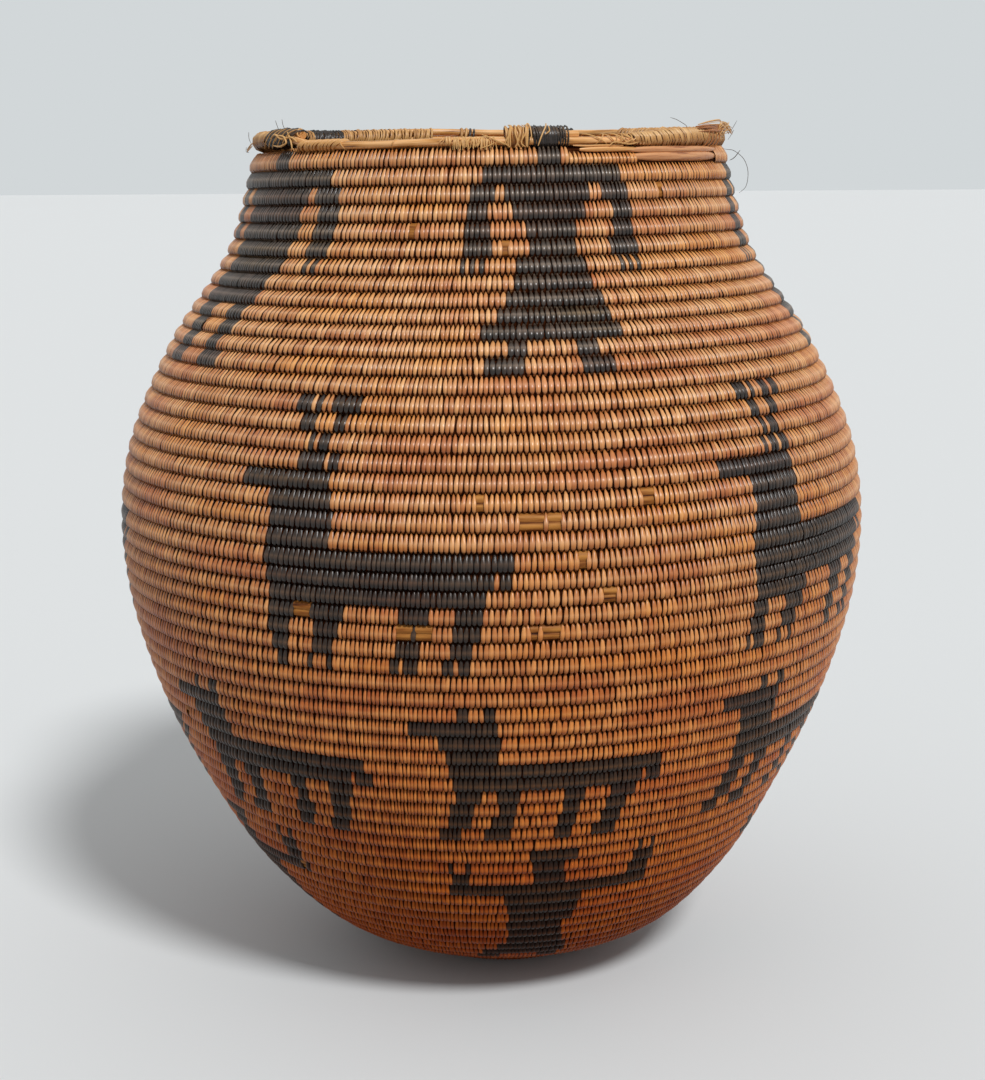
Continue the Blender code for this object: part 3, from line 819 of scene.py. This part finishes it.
# %% Sew the knot
KNOT_STITCHES = 18
KNOT_HALF_WIDTH = 0.0008
KNOT_SEED = 60
KNOT_SPAN = (-0.3, 0.985)  # turns
knot_turns = np.linspace(*KNOT_SPAN, KNOT_STITCHES)
knot_place, knot_along, knot_out, knot_up = coil_frame(knot_turns)
knot_wraps = sew_piece(
    "start_knot_wraps", stitch_ring, willow_splint, knot_place,
    turning_angles(knot_along, knot_out, knot_up, knot_turns * 0),
    np.full(KNOT_STITCHES, KNOT_HALF_WIDTH), pitch_at_turn(np.full(KNOT_STITCHES, 1.0)) / 2,
    STITCH_THICKNESS, WIDTH_SPREAD, KNOT_SEED)
fix_piece(knot_wraps)
print("Faces of the knot:", len(knot_wraps.data.polygons))

# %% [markdown]
# ## The rods inside the coil
# Three slender willow rods lie in every turn. They show between the stitches as dark
# reddish gaps, darkened by dirt and painted shade, and as golden wood where stitches are gone.
# One closed form with a lobe for each rod is drawn along the spiral.

# %% The form of the rods
ROD_BUNDLE = (  # outwards in mm, upwards in half pitches: two rods outside, one inside
    (0.2, -1.20), (1.20, -1.02), (1.85, -0.65), (1.95, -0.32), (1.45, -0.08), (1.50, 0.14),
    (0.95, 0.45), (0.20, 0.86), (-0.55, 1.16), (-1.5, 0.58), (-2.25, 0.0), (-1.5, -0.58))
BARE_BUNDLE = (  # the same rods where the stitches are gone and they have sprung out
    (0.0, -0.90), (1.30, -0.90), (2.10, -0.66), (2.20, -0.30), (1.85, -0.06), (2.25, 0.16),
    (2.25, 0.54), (1.40, 0.88), (0.0, 0.90), (-0.6, 0.50), (-0.8, 0.0), (-0.6, -0.50))
ROD_CREASE_DEGREES = 60
FOOT_STEPS, WALL_STEPS, BARE_STEPS = 48, 96, 500  # rings in a turn
FIRST_ROD_TURN = 0.4
MIDDLE_ROD_TURN = 38.0  # the wall's rods are drawn as two pieces, below and above this

# %% Closed tubes
def lengths_along(points):
    """The distance from the first point of a line to each of its points."""
    return np.concatenate(([0.0], np.cumsum(np.linalg.norm(np.diff(points, axis=0), axis=1))))


def closed_tubes(name, tubes, material):
    """One piece of closed tubes. Each tube is its rings of points, and the length at each."""
    all_points, faces, maps = [], [], []
    for rings, lengths in tubes:
        start, sides = len(all_points), rings.shape[1]
        all_points += rings.reshape(-1, 3).tolist()
        for i in range(len(rings) - 1):
            for k in range(sides):
                a, b = start + i * sides + k, start + i * sides + (k + 1) % sides
                faces.append((a, b, b + sides, a + sides))
                low, high = k / sides, (k + 1) / sides
                maps += [(lengths[i], low), (lengths[i], high), (lengths[i + 1], high),
                         (lengths[i + 1], low)]
        last = start + (len(rings) - 1) * sides
        faces.append(tuple(start + k for k in reversed(range(sides))))
        faces.append(tuple(last + k for k in range(sides)))
        maps += [(0.0, k / sides) for k in range(sides)] * 2
    piece = mapped_object(name, all_points, faces, "rod", maps, ROD_CREASE_DEGREES)
    piece.data.materials.append(material)
    return piece


def coil_bundle(name, spans, steps_per_turn, lobes, material):
    """Closed lengths of the rods, one for each span of turns."""
    lobes = np.array(lobes)
    tubes = []
    for first_turn, last_turn in spans:
        steps = max(1, int(round((last_turn - first_turn) * steps_per_turn)))
        turns = np.linspace(first_turn, last_turn - 1e-6, steps + 1)
        place, _, outwards, upwards = coil_frame(turns)
        half_pitch = pitch_at_turn(turns)[:, None, None] / 2
        rings = (place[:, None] + outwards[:, None] * lobes[None, :, :1] / 1000
                 + upwards[:, None] * lobes[None, :, 1:] * half_pitch)
        # the lobes run clockwise, seen along the coil, so the rings go in last one first
        tubes.append((rings[::-1], (first_turn + lengths_along(place))[::-1]))
    return closed_tubes(name, tubes, material)


# %% Draw the rods
# where stitches are missing, neighbours that are missing too share one bare length
BARE_SHARE = 0.7  # of the spacing, laid bare on each side of a missing stitch
missing_numbers = np.flatnonzero(missing & (front_rows != 1))
bare_spans = []
for number in missing_numbers:
    half = gaps[number] * BARE_SHARE
    reach = (stitch_turns[number] - half, stitch_turns[number] + half)
    if bare_spans and reach[0] < bare_spans[-1][1]:
        bare_spans[-1] = (bare_spans[-1][0], reach[1])
    else:
        bare_spans.append(reach)

for name, spans, steps, lobes, wood in (
        ("rods_in_foot", [(FIRST_ROD_TURN, FOOT_TURNS)], FOOT_STEPS, ROD_BUNDLE, buried_rod_dirt_and_shade),
        ("rods_in_lower_wall", [(FOOT_TURNS, MIDDLE_ROD_TURN)], WALL_STEPS, ROD_BUNDLE,
         buried_rod_dirt_and_shade),
        ("rods_in_upper_wall", [(MIDDLE_ROD_TURN, COIL_END_TURN)], WALL_STEPS, ROD_BUNDLE,
         buried_rod_dirt_and_shade),
        ("rods_laid_bare", bare_spans, BARE_STEPS, BARE_BUNDLE, worn_rod)):
    rods = coil_bundle(name, spans, steps, lobes, wood)
    fix_piece(rods)
    print(name, "faces:", len(rods.data.polygons))

# %% [markdown]
# ## The rim
# The last turn is not sewn over: its three rods lie bare along the worn front, and pale
# and black splints still wrap them round the sides and the back. The rods have sunk a
# little where nothing holds them up.

# %% Places along the rim
ROD_RADIUS = 0.00125
ROD_GAP = 0.0003
BINDING_THICKNESS = 0.0005
BUNDLE_RADIUS = (2 * ROD_RADIUS + ROD_GAP) / math.sqrt(3.0)
BINDING_RADIUS = (BUNDLE_RADIUS + ROD_RADIUS + ROD_GAP) / math.cos(math.pi / 8) + BINDING_THICKNESS


def rim_frame(degrees):
    """The rim's middle line: place, direction along, outwards and upwards."""
    degrees = np.asarray(degrees, float)
    arc = arc_at_turn(TURN_COUNT - 1 + (degrees - SEAM_DEGREES) / 360.0)
    radius, height, run, rise = outline_at(arc)
    lift = COIL_GAP + BINDING_RADIUS
    radius = radius - COIL_THICKNESS / 2 * rise + lift * run - pinch_at(height)
    height = height + COIL_THICKNESS / 2 * run + lift * rise
    return frame_at(degrees, radius, height, run, rise)


# %% Round strands
def strand_mesh(name, strands, sides, material):
    """One piece of closed round strands. Each strand is its points and its radii."""
    angles = [2 * math.pi * k / sides for k in range(sides)]
    tubes = []
    for points, radii in strands:
        points = np.asarray(points, float)
        ahead = np.gradient(points, axis=0)
        ahead /= np.linalg.norm(ahead, axis=1)[:, None]
        side = np.cross(ahead[0], (0.0, 0.3, 1.0))
        rings = []
        for here, forward, radius in zip(points, ahead, radii):
            side = side - forward * np.dot(side, forward)
            side = side / np.linalg.norm(side)
            over = np.cross(forward, side)
            rings.append([here + radius * (math.cos(angle) * side + math.sin(angle) * over)
                          for angle in angles])
        tubes.append((np.array(rings), lengths_along(points)))
    return closed_tubes(name, tubes, material)


# %% Rim rods
RIM_SAG = (  # azimuth, how far the rim has sunk from an even course, in millimetres
    (-109.0, -0.6), (-80.0, -0.8), (-52.0, -0.8), (-45.0, 1.8), (26.0, 1.8), (38.0, 2.3),
    (50.0, 1.6), (60.0, 1.4), (85.0, 1.2), (120.0, 0.3), (195.0, 0.3), (215.0, 1.2), (234.0, 2.3),
    (250.0, 2.6))
WANDER = 0.0006  # how far a rod strays, before it is evened out
WANDER_REACH = 25  # degrees over which it is evened out
THICKNESS_WANDER = 50.0  # thicker by this share for each metre that it strays outwards
BROKEN_SHARE = 0.3  # of a rod's thickness at its broken end
BROKEN_DEGREES = 9
ROD_SIDES = 12
ROD_SEED = 3


def sag_at(degrees):
    """How far the worn rods have sunk on to the coil below, in metres."""
    return np.interp(degrees, *zip(*RIM_SAG)) / 1000


def rim_rod(bundle_degrees, start, end, seed, pointed):
    """One rod of the rim, which wanders a little. A pointed one starts at a broken end."""
    degrees = np.arange(start, end + 0.5, 1.0)
    place, along, outwards, upwards = rim_frame(degrees)
    angle = math.radians(bundle_degrees)
    chance = np.random.default_rng(seed).normal(0, 1, (2, len(degrees) + WANDER_REACH - 1))
    window = np.ones(WANDER_REACH) / WANDER_REACH
    smooth = np.array([np.convolve(row, window, "valid") for row in chance]) * WANDER
    out = BUNDLE_RADIUS * math.cos(angle) + smooth[0]
    up = BUNDLE_RADIUS * math.sin(angle) + smooth[1] - sag_at(degrees)
    points = place + outwards * out[:, None] + upwards * up[:, None]
    radii = ROD_RADIUS * (1 + THICKNESS_WANDER * smooth[0])
    if pointed:
        radii = radii * np.clip(BROKEN_SHARE + (degrees - start) / BROKEN_DEGREES, 0, 1)
    return points, radii


# %% Lay the rim rods
for node, bundle_degrees, start, end in (
        ("rim_rod_outer", -30.0, -109.0, 249.0), ("rim_rod_inner", 210.0, -109.0, 249.0),
        ("rim_rod_top_stub", 90.0, 8.5, 20.5), ("rim_rod_top", 90.0, 37.0, 249.0),
        ("rim_rod_top_left", 90.0, -109.0, -50.0)):
    rod = strand_mesh(node + "_peeled", [
        rim_rod(bundle_degrees, start, end, ROD_SEED, node == "rim_rod_top")],
        ROD_SIDES, bare_rod)
    fix_piece(rod, node)
    print(rod.name, "faces:", len(rod.data.polygons))

# %% [markdown]
# ## The binding
# Each stretch of binding that is left is a row of narrow rings of splint, sewn by the same
# tree as the stitches. Its rings slant, and stand closer or wider apart, as they do there.

# %% Where the binding is left
WRAP_SPANS = (  # piece, the node that it replaces, from degrees, to degrees, splint
    ("head_wraps", "rim_binding_01", 8.8, 17.3, claw_splint),
    ("right_wraps", "rim_binding_02", 34.0, 60.0, straw_splint),
    ("right_back_wraps", "rim_binding_03", 60.3, 100.0, straw_splint),
    ("far_right_wraps", "rim_binding_04", 100.3, 141.0, straw_splint),
    ("back_dark_wraps", "rim_binding_05", 156.0, 169.0, claw_splint),
    ("back_wraps", "rim_binding_06", 197.0, 227.0, straw_splint),
    ("far_left_wraps", "rim_binding_07", 239.0, 248.0, straw_splint),
    ("left_back_wraps", "rim_binding_08", -108.0, -80.0, straw_splint),
    ("left_wraps", "rim_binding_09", -79.7, -65.2, straw_splint),
    ("left_dark_wraps", None, -65.0, -51.0, claw_splint),
    ("far_left_dark_wraps", None, 227.3, 238.8, claw_splint),
    ("back_dark_patch", None, 184.3, 186.6, claw_splint),
    ("back_pale_patch", None, 186.8, 189.0, straw_splint),
    ("shaggy_wraps", None, 3.4, 8.6, straw_splint))
USUAL_WRAP = (1.15, 16.0, 0.92, 0.0)  # spacing in mm, slant in degrees, size, rise in mm
WRAP_LOOKS = {
    "head_wraps": (0.55, 3.0, 0.97, 0.6), "shaggy_wraps": (0.85, 6.0, 0.97, 0.7),
    "left_wraps": (1.25, 38.0, 0.97, 0.0), "left_dark_wraps": (1.05, 30.0, 0.93, 0.0),
    "left_back_wraps": (1.45, 34.0, 0.95, 0.0), "back_wraps": (1.15, 16.0, 0.89, 0.0),
    "far_left_wraps": (1.15, 16.0, 0.89, 0.0), "far_left_dark_wraps": (0.80, 16.0, 0.90, 0.0)}

# %% Wrap the rim
WRAP_POINTS = 10
WRAP_CROWN = 0.12
WRAP_WIDTH_SHARE = 0.46  # of the spacing
WRAP_WIDTH_SPREAD = 0.28
WRAP_HEIGHT_SPREAD = 0.03
WRAP_PLACE_SPREAD_DEGREES = 0.16
WRAP_SLANT_SPREAD_DEGREES = 6.0
FIRST_WRAP_SEED = 70
THIN_BINDING_SHARE = 0.70
FULL_BINDING_DEGREES = 50.0
wrap_profile = []
for i in range(WRAP_POINTS):
    turn = math.radians(-60 + 360 * i / WRAP_POINTS)
    wrap_profile.append((math.cos(turn), math.sin(turn), 1.0))
wrap_ring = ring_mesh("wrap_ring", wrap_profile, WRAP_CROWN, 0.0)

for number, (piece_name, node, start, end, splint) in enumerate(WRAP_SPANS):
    spacing, slant, size, rise = WRAP_LOOKS.get(piece_name, USUAL_WRAP)
    spacing = spacing / 1000
    count = int(math.radians(end - start) * MOUTH_RADIUS / spacing)
    degrees = start + (end - start) * (np.arange(count) + 0.5) / count
    degrees = degrees + dice.normal(0.0, WRAP_PLACE_SPREAD_DEGREES, count)
    place, along, outwards, upwards = rim_frame(degrees)
    place = place + upwards * (rise / 1000 - sag_at(degrees))[:, None]
    slants = (slant if start < 0 else -slant) + dice.normal(
        0.0, WRAP_SLANT_SPREAD_DEGREES, count)
    angles = turning_angles(along, outwards, upwards, slants)
    widths = np.full(count, spacing * WRAP_WIDTH_SHARE)
    heights = BINDING_RADIUS * size * dice.normal(1.0, WRAP_HEIGHT_SPREAD, count)
    if piece_name == "right_wraps":
        # the binding thins to the left, where the top rod has broken away
        full = np.clip((degrees - start) / (FULL_BINDING_DEGREES - start), 0, 1)
        heights = heights * (THIN_BINDING_SHARE + (1 - THIN_BINDING_SHARE) * full)
    wraps = sew_piece(piece_name, wrap_ring, splint, place, angles, widths, heights,
                      BINDING_RADIUS * size, WRAP_WIDTH_SPREAD, FIRST_WRAP_SEED + number)
    fix_piece(wraps, node)
print("Stretches of binding:", len(WRAP_SPANS))

# %% [markdown]
# ## Loose ends on the rim
# Where the binding has worn through, split ends still cling to the rods: small wraps, loops,
# hanging fibres, a knotted end on the left and a frayed one on the right. Each is a strand
# drawn through a few places, given as degrees round the rim and millimetres out and up.

# %% Strands near the rim
def smooth_strand(knots, points_between=4):
    """A smooth line through (degrees, millimetres outwards, millimetres upwards)."""
    knots = np.array(knots, float)
    padded = np.vstack([2 * knots[0] - knots[1], knots, 2 * knots[-1] - knots[-2]])
    line = []
    for i in range(len(knots) - 1):
        a, b, c, d = padded[i:i + 4]
        for u in np.arange(points_between) / points_between:
            line.append(b + 0.5 * ((c - a) * u + (2 * a - 5 * b + 4 * c - d) * u**2
                                   + (3 * b - a - 3 * c + d) * u**3))
    line.append(knots[-1])
    line = np.array(line)
    # the strands follow the rim where it stands high on the left and low on the right
    line[:, 2] += np.interp(line[:, 0], (-53.0, -47.0, 40.0, 52.0), (0.8, 0.0, 0.0, -1.5))
    place, along, outwards, upwards = rim_frame(line[:, 0])
    return place + outwards * line[:, 1:2] / 1000 + upwards * line[:, 2:3] / 1000


def strand(knots, radius_mm):
    """One tapered strand, ready for strand_mesh."""
    points = smooth_strand(knots)
    ends = np.abs(np.linspace(-1, 1, len(points)))**4
    return points, radius_mm / 1000 * (1 - 0.5 * ends)


def strands_through(*rows):
    """Strands laid one by one. A row is a radius in millimetres, and the places it runs through.
    """
    return [strand(places, radius_mm) for radius_mm, *places in rows]


def loop(degrees, swing, reach, centre_up, angles, radius_mm):
    """A strand round the rods. Its angles run from outwards, 0, over the top, 90."""
    half_out, half_up = reach
    return strand([
        (degrees + swing * math.sin(a), half_out * math.cos(a), centre_up + half_up * math.sin(a))
        for a in np.radians(np.linspace(*angles, 8))], radius_mm)


def add_strands(name, strands, material, sides=6):
    """Makes strands into one piece and fixes it."""
    piece = strand_mesh(name, strands, sides, material)
    fix_piece(piece)
    print(name, "faces:", len(piece.data.polygons))


# %% Small wraps along the front
WORN_UP = -2.6  # mm, the middle of the two rods that are left along the worn front
ROD_PAIR_REACH = (2.95, 1.50)
SMALL_WRAP_REACH = (3.15, 1.75)
pick = random.Random(21)
small_wraps = [
    loop(-48.0 + 1.15 * i + pick.gauss(0, 0.15), 1.0 + pick.gauss(0, 0.35), SMALL_WRAP_REACH,
         WORN_UP + 0.25, (170, -150), pick.uniform(0.36, 0.50))
    for i in range(11)]
small_wraps += [
    loop(degrees, swing, ROD_PAIR_REACH, WORN_UP, (160, -120), pick.uniform(0.18, 0.30))
    for degrees, swing in (
        (-36.0, 1.6), (-34.6, -0.8), (-21.4, 0.5), (-10.6, 0.9), (-9.9, 0.7), (-8.3, 0.2))]
small_wraps += strands_through(
    (0.55, (-9.3, 1.5, -0.9), (-9.3, 3.1, -1.8), (-9.1, 3.3, -2.9), (-9.3, 2.9, -3.8)),
    (0.55, (-8.7, 1.5, -0.9), (-8.7, 3.1, -1.8), (-8.5, 3.3, -2.9), (-8.7, 2.9, -3.8)))
add_strands("small_wraps", small_wraps, rim_straw)

# dark old splint lies under the small wraps, and inside the head's and the shaggy wraps
for name, start, step, count, out, up, radius_mm, wood, slot, sides in (
        ("under_small_wraps", -49.0, 2.2, 7, 1.45, WORN_UP, 1.42, worn_rod, "rim_splint", 12),
        ("under_shaggy_wraps", 3.6, 1.0, 6, 0.0, -1.1, 3.45, worn_rod, "rim_splint", 16),
        ("under_head_wraps", 9.0, 1.15, 8, 0.0, -1.2, 3.45, claw_splint_plain, "black_splint",
         16)):
    core = strand([(start + step * i, out, up) for i in range(count)], radius_mm)
    add_strands(name, [core], wood, sides)

# %% Fibres that hang along the front
FRINGE_FIBRES = 46
SHAGGY_FIBRES = 9
hanging = []
for i in range(FRINGE_FIBRES):
    degrees = pick.uniform(-7.9, 1.2)
    lean = pick.gauss(0.0, 0.8)
    hanging.append(strand((
        (degrees, pick.uniform(-1.0, 0.6), -1.0 + pick.uniform(0.0, 0.5)),
        (degrees + lean * 0.4, 2.2, -1.3), (degrees + lean * 0.7, 3.1, -2.6),
        (degrees + lean, 2.9 + pick.uniform(0, 0.4), pick.uniform(-5.6, -3.9))),
        pick.uniform(0.13, 0.26)))
for i in range(SHAGGY_FIBRES):
    degrees = pick.uniform(3.4, 8.6)
    hanging.append(strand((
        (degrees, 1.4, 2.5), (degrees + pick.gauss(0, 0.3), 3.4, 1.5), (degrees, 4.3, -0.6),
        (degrees + pick.gauss(0, 0.5), 3.8, -3.4), (degrees, 3.2, -4.8)),
        pick.uniform(0.18, 0.30)))
hanging += strands_through(
    # crossing splints at the end of the shaggy stretch
    (0.22, (-1.6, 2.9, -0.6), (0.4, 3.4, -1.9), (3.0, 3.6, -3.6), (4.2, 3.4, -4.4)),
    (0.18, (-0.8, 3.0, -0.9), (1.0, 3.5, -2.4), (3.4, 3.4, -4.1)),
    (0.18, (-2.0, 3.1, -4.9), (-0.4, 3.4, -4.4), (1.2, 3.5, -3.4)),
    # the pale loop beside the head
    (0.24, (7.9, 3.7, -4.6), (7.8, 4.4, -1.5), (7.9, 4.1, 1.0), (8.3, 3.4, 2.4),
     (8.8, 4.1, 1.2), (9.0, 4.4, -1.2), (9.0, 4.0, -3.4)),
    # splints laid across the head
    (0.26, (12.6, 2.6, 2.6), (12.2, 4.0, 1.2), (11.2, 4.5, -1.6), (10.4, 4.1, -4.6)),
    (0.20, (12.9, 3.4, 1.8), (13.0, 4.2, 0.0), (12.0, 4.5, -1.2)))
add_strands("hanging_fibres", hanging, fibre, 5)

# %% Bare rods of the second turn, right of the head
def second_turn_rod(start, end, out, up, radius_mm):
    """A rod of the second turn, which keeps its level where the rim's strands sink."""
    return strand([(degrees, out, up + np.interp(degrees, (40.0, 52.0), (0.0, 1.5)))
                   for degrees in np.linspace(start, end, 21)], radius_mm)


add_strands("second_turn_rods", [second_turn_rod(20.0, 35.0, 2.2, -5.55, 0.80)], bare_rod,
            10)
add_strands("second_turn_broad_rods", [
    second_turn_rod(32.0, 66.5, 2.0, -5.75, 1.12), second_turn_rod(33.0, 66.5, 1.45, -7.85, 1.62)],
    reddish_rod, 12)
add_strands("thin_rod", strands_through(
    (0.33, (18.5, 2.4, -4.3), (22.0, 2.5, -4.5), (26.0, 2.4, -4.4), (31.0, 2.3, -4.5))),
    bare_rod, 8)

# %% Loops right of the head
LOOP_COUNT = 13
loops = [
    loop(pick.uniform(24.5, 37.5), pick.gauss(0.0, 1.8), (3.1, 1.9), WORN_UP + 0.3,
         (pick.uniform(130, 180), pick.uniform(-150, -60)), pick.uniform(0.14, 0.24))
    for i in range(LOOP_COUNT)]
loops += strands_through(
    (0.20, (31.5, 2.0, -0.4), (31.0, 3.4, -1.4), (32.8, 3.6, -2.8), (30.2, 3.5, -4.2)),
    (0.18, (27.0, 3.4, -4.5), (28.5, 3.5, -3.6), (32.0, 3.4, -4.3), (35.0, 3.4, -3.6)))
add_strands("rim_loops", loops, fibre, 5)

# %% Knotted end on the left
pale_knot = [
    strand(((degrees - 1.5, 3.6, -3.8), (degrees, 4.4, -1.8), (degrees + 1.6, 4.1, 1.0),
            (degrees + 3.2, 3.0, 2.5)), 0.17 + 0.02 * (i % 3))
    for i, degrees in enumerate((-62.0, -59.5, -57.5, -55.0, -53.0))]
pale_knot += strands_through(
    (0.34, (-57.0, 4.3, -1.8), (-55.5, 4.6, -0.2), (-53.0, 4.5, -0.6), (-52.0, 4.3, -2.4),
     (-54.0, 4.4, -3.6), (-57.5, 4.3, -3.2)),
    (0.38, (-60.0, 4.2, -0.8), (-57.0, 4.7, 0.3), (-54.0, 4.4, -1.2), (-50.5, 4.0, -0.4),
     (-48.5, 3.5, -1.6)),
    (0.30, (-52.5, 3.9, 1.2), (-50.5, 4.0, -1.5), (-49.8, 3.6, -4.2)),
    (0.30, (-79.0, 3.6, -1.4), (-84.0, 4.3, -2.6), (-87.0, 5.0, -3.6)),
    (0.26, (-76.0, 3.8, -2.4), (-82.0, 4.4, -3.8), (-87.0, 4.8, -4.2)))
add_strands("left_pale_knot", pale_knot, fibre)
spiral = [(-50.4, 0.9 + (0.2 + 0.16 * t) * math.cos(t), 1.5 + (0.2 + 0.16 * t) * math.sin(t))
          for t in np.arange(0.0, 9.5, 0.7)]
add_strands("left_rolled_end", [strand(spiral, 0.36)], rim_straw)

# %% Frayed end on the right
FRAYED_SPLINTS = 13
RIGHT_WISPS = 16
frayed = []
for i in range(FRAYED_SPLINTS):
    start = pick.uniform(57.0, 63.0)
    high = pick.uniform(0.6, 4.0)
    frayed.append(strand((
        (start, 3.3 - 0.25 * high, high), (start + 6, 4.2 - 0.3 * high, high + 0.3),
        (start + 12, 4.5 - 0.3 * high, high + pick.uniform(0.0, 0.8)),
        (start + 17, 4.6 - 0.3 * high + pick.uniform(-0.6, 0.8), high + pick.uniform(-0.2, 1.2))),
        pick.uniform(0.24, 0.42)))
frayed += [loop(61.0 + 2.4 * i, 1.8, (4.3, 3.9), -0.2, (40, -110), 0.20) for i in range(4)]
add_strands("right_frayed_splints", frayed, brown_strand)
wisps = []
for i in range(RIGHT_WISPS):
    degrees = pick.uniform(62.0, 80.0)
    wisps.append(strand((
        (degrees, 3.8, pick.uniform(-1.5, 3.6)), (degrees + 4, 4.6, pick.uniform(0.0, 4.6)),
        (degrees + 8, 5.0 + pick.uniform(0.0, 1.4), pick.uniform(-1.0, 5.4))),
        pick.uniform(0.09, 0.18)))
wisps += strands_through(
    (0.30, (60.0, 1.6, 4.0), (67.0, 2.4, 5.0), (74.0, 3.2, 5.4), (80.0, 3.0, 5.2)),
    (0.12, (62.0, 2.0, 3.9), (69.0, 3.0, 4.6), (77.0, 4.4, 4.4), (82.0, 5.4, 2.6),
     (82.0, 5.6, 0.6)))
add_strands("right_wisps", wisps, fibre, 5)

# %% Hairs that stand away from the rim
add_strands("rim_hairs", strands_through(
    # the long fibre that curls out and down
    (0.10, (72.0, 3.2, -4.4), (78.0, 3.6, -4.7), (80.0, 5.6, -5.6), (82.0, 8.2, -9.0),
     (82.0, 8.8, -13.5), (82.0, 7.2, -18.2), (82.0, 4.4, -20.0)),
    (0.09, (55.0, 1.0, 2.4), (54.0, 1.2, 3.8), (50.5, 1.4, 5.2), (47.5, 1.6, 5.6)),
    (0.09, (79.0, 3.4, 2.6), (81.0, 5.0, 0.8), (82.0, 6.6, 2.2), (82.0, 8.4, 4.2)),
    (0.08, (78.0, 4.4, -1.6), (81.0, 6.2, 0.6), (82.0, 6.8, 1.4)),
    (0.14, (82.0, 3.4, -8.4), (82.0, 5.2, -7.8), (82.0, 7.6, -5.8)),
    (0.10, (-60.5, 1.2, 2.4), (-62.0, 1.4, 4.2), (-63.5, 1.5, 6.0)),
    (0.10, (-57.0, 1.2, 2.4), (-58.5, 1.4, 4.2), (-59.5, 1.5, 6.2)),
    (0.10, (-86.0, 3.9, -1.2), (-88.0, 5.2, 0.6), (-88.0, 5.6, 2.6)),
    (0.09, (-84.0, 3.9, -4.4), (-87.0, 5.2, -4.2), (-88.0, 5.6, -2.6))),
    hair, 5)

# %% Put the rings away
for ring in (stitch_ring, wrap_ring):
    bpy.data.objects.remove(ring)

# %% [markdown]
# ## Table, room and sun
# A plain pale table carries the basket's soft shadow. A soft sun shines from the right
# front, as through a window, and a pale room lights the rest.

# %% Table
STAGE_COLOUR = "#E6E9EA"
TABLE_BOUNCE_COLOUR = "#8C8077"
TABLE_ROUGHNESS = 0.8
FLOOR_REACH = 40.0


def seen_by_eye(tree):
    """1 where the camera looks, also by a reflection or through glass, and 0 for other light."""
    ray = add_node(tree, "ShaderNodeLightPath").outputs
    seen = ray["Is Camera Ray"]
    for kind in ("Is Glossy Ray", "Is Transmission Ray"):
        seen = add_node(tree, "ShaderNodeMath", {0: seen, 1: ray[kind]}, operation="MAXIMUM")
    return seen


stage_material, stage_tree, stage_shader = new_material("plain_pale_table")
# the eye sees a pale table, and the basket gets the warmer light of a wooden one
stage_colour = add_node(stage_tree, "ShaderNodeMix", {
    "Factor": seen_by_eye(stage_tree), 6: linear(TABLE_BOUNCE_COLOUR), 7: linear(STAGE_COLOUR)},
    data_type="RGBA")
set_inputs(stage_tree, stage_shader, {
    "Base Color": stage_colour.outputs[2], "Roughness": TABLE_ROUGHNESS})
floor_mesh = bpy.data.meshes.new("floor")
floor_mesh.from_pydata(
    [(-FLOOR_REACH, -FLOOR_REACH, 0), (FLOOR_REACH, -FLOOR_REACH, 0),
     (FLOOR_REACH, FLOOR_REACH, 0), (-FLOOR_REACH, FLOOR_REACH, 0)], [], [(0, 1, 2, 3)])
floor_mesh.materials.append(stage_material)
floor = new_object("floor", floor_mesh)

# %% Room and sun
BACKGROUND_COLOUR = "#D2D7D9"
ROOM_LIGHT = 0.44
world = bpy.data.worlds.new("pale_room")
bpy.context.scene.world = world
world.use_nodes = True
room_tree = world.node_tree
room_tree.nodes.clear()
room = add_node(room_tree, "ShaderNodeBackground", {
    "Color": (1, 1, 1, 1), "Strength": ROOM_LIGHT})
shown = add_node(room_tree, "ShaderNodeBackground", {
    "Color": linear(BACKGROUND_COLOUR), "Strength": 1.0})
mixed = add_node(room_tree, "ShaderNodeMixShader", {
    0: seen_by_eye(room_tree), 1: room, 2: shown})
add_node(room_tree, "ShaderNodeOutputWorld", {"Surface": mixed})


def add_sun(name, azimuth_degrees, height_degrees, width_degrees, strength):
    """A soft sun. Its azimuth turns from the front of the basket towards the right."""
    data = bpy.data.lights.new(name, "SUN")
    data.angle = math.radians(width_degrees)
    data.energy = strength
    azimuth, height = math.radians(azimuth_degrees), math.radians(height_degrees)
    towards = Vector((math.sin(azimuth) * math.cos(height), -math.cos(azimuth) * math.cos(height),
                      math.sin(height)))
    new_object(name, data).matrix_world = towards.to_track_quat("Z", "Y").to_matrix().to_4x4()


add_sun("window_light", azimuth_degrees=27.0, height_degrees=47.0, width_degrees=11.0,
        strength=2.12)
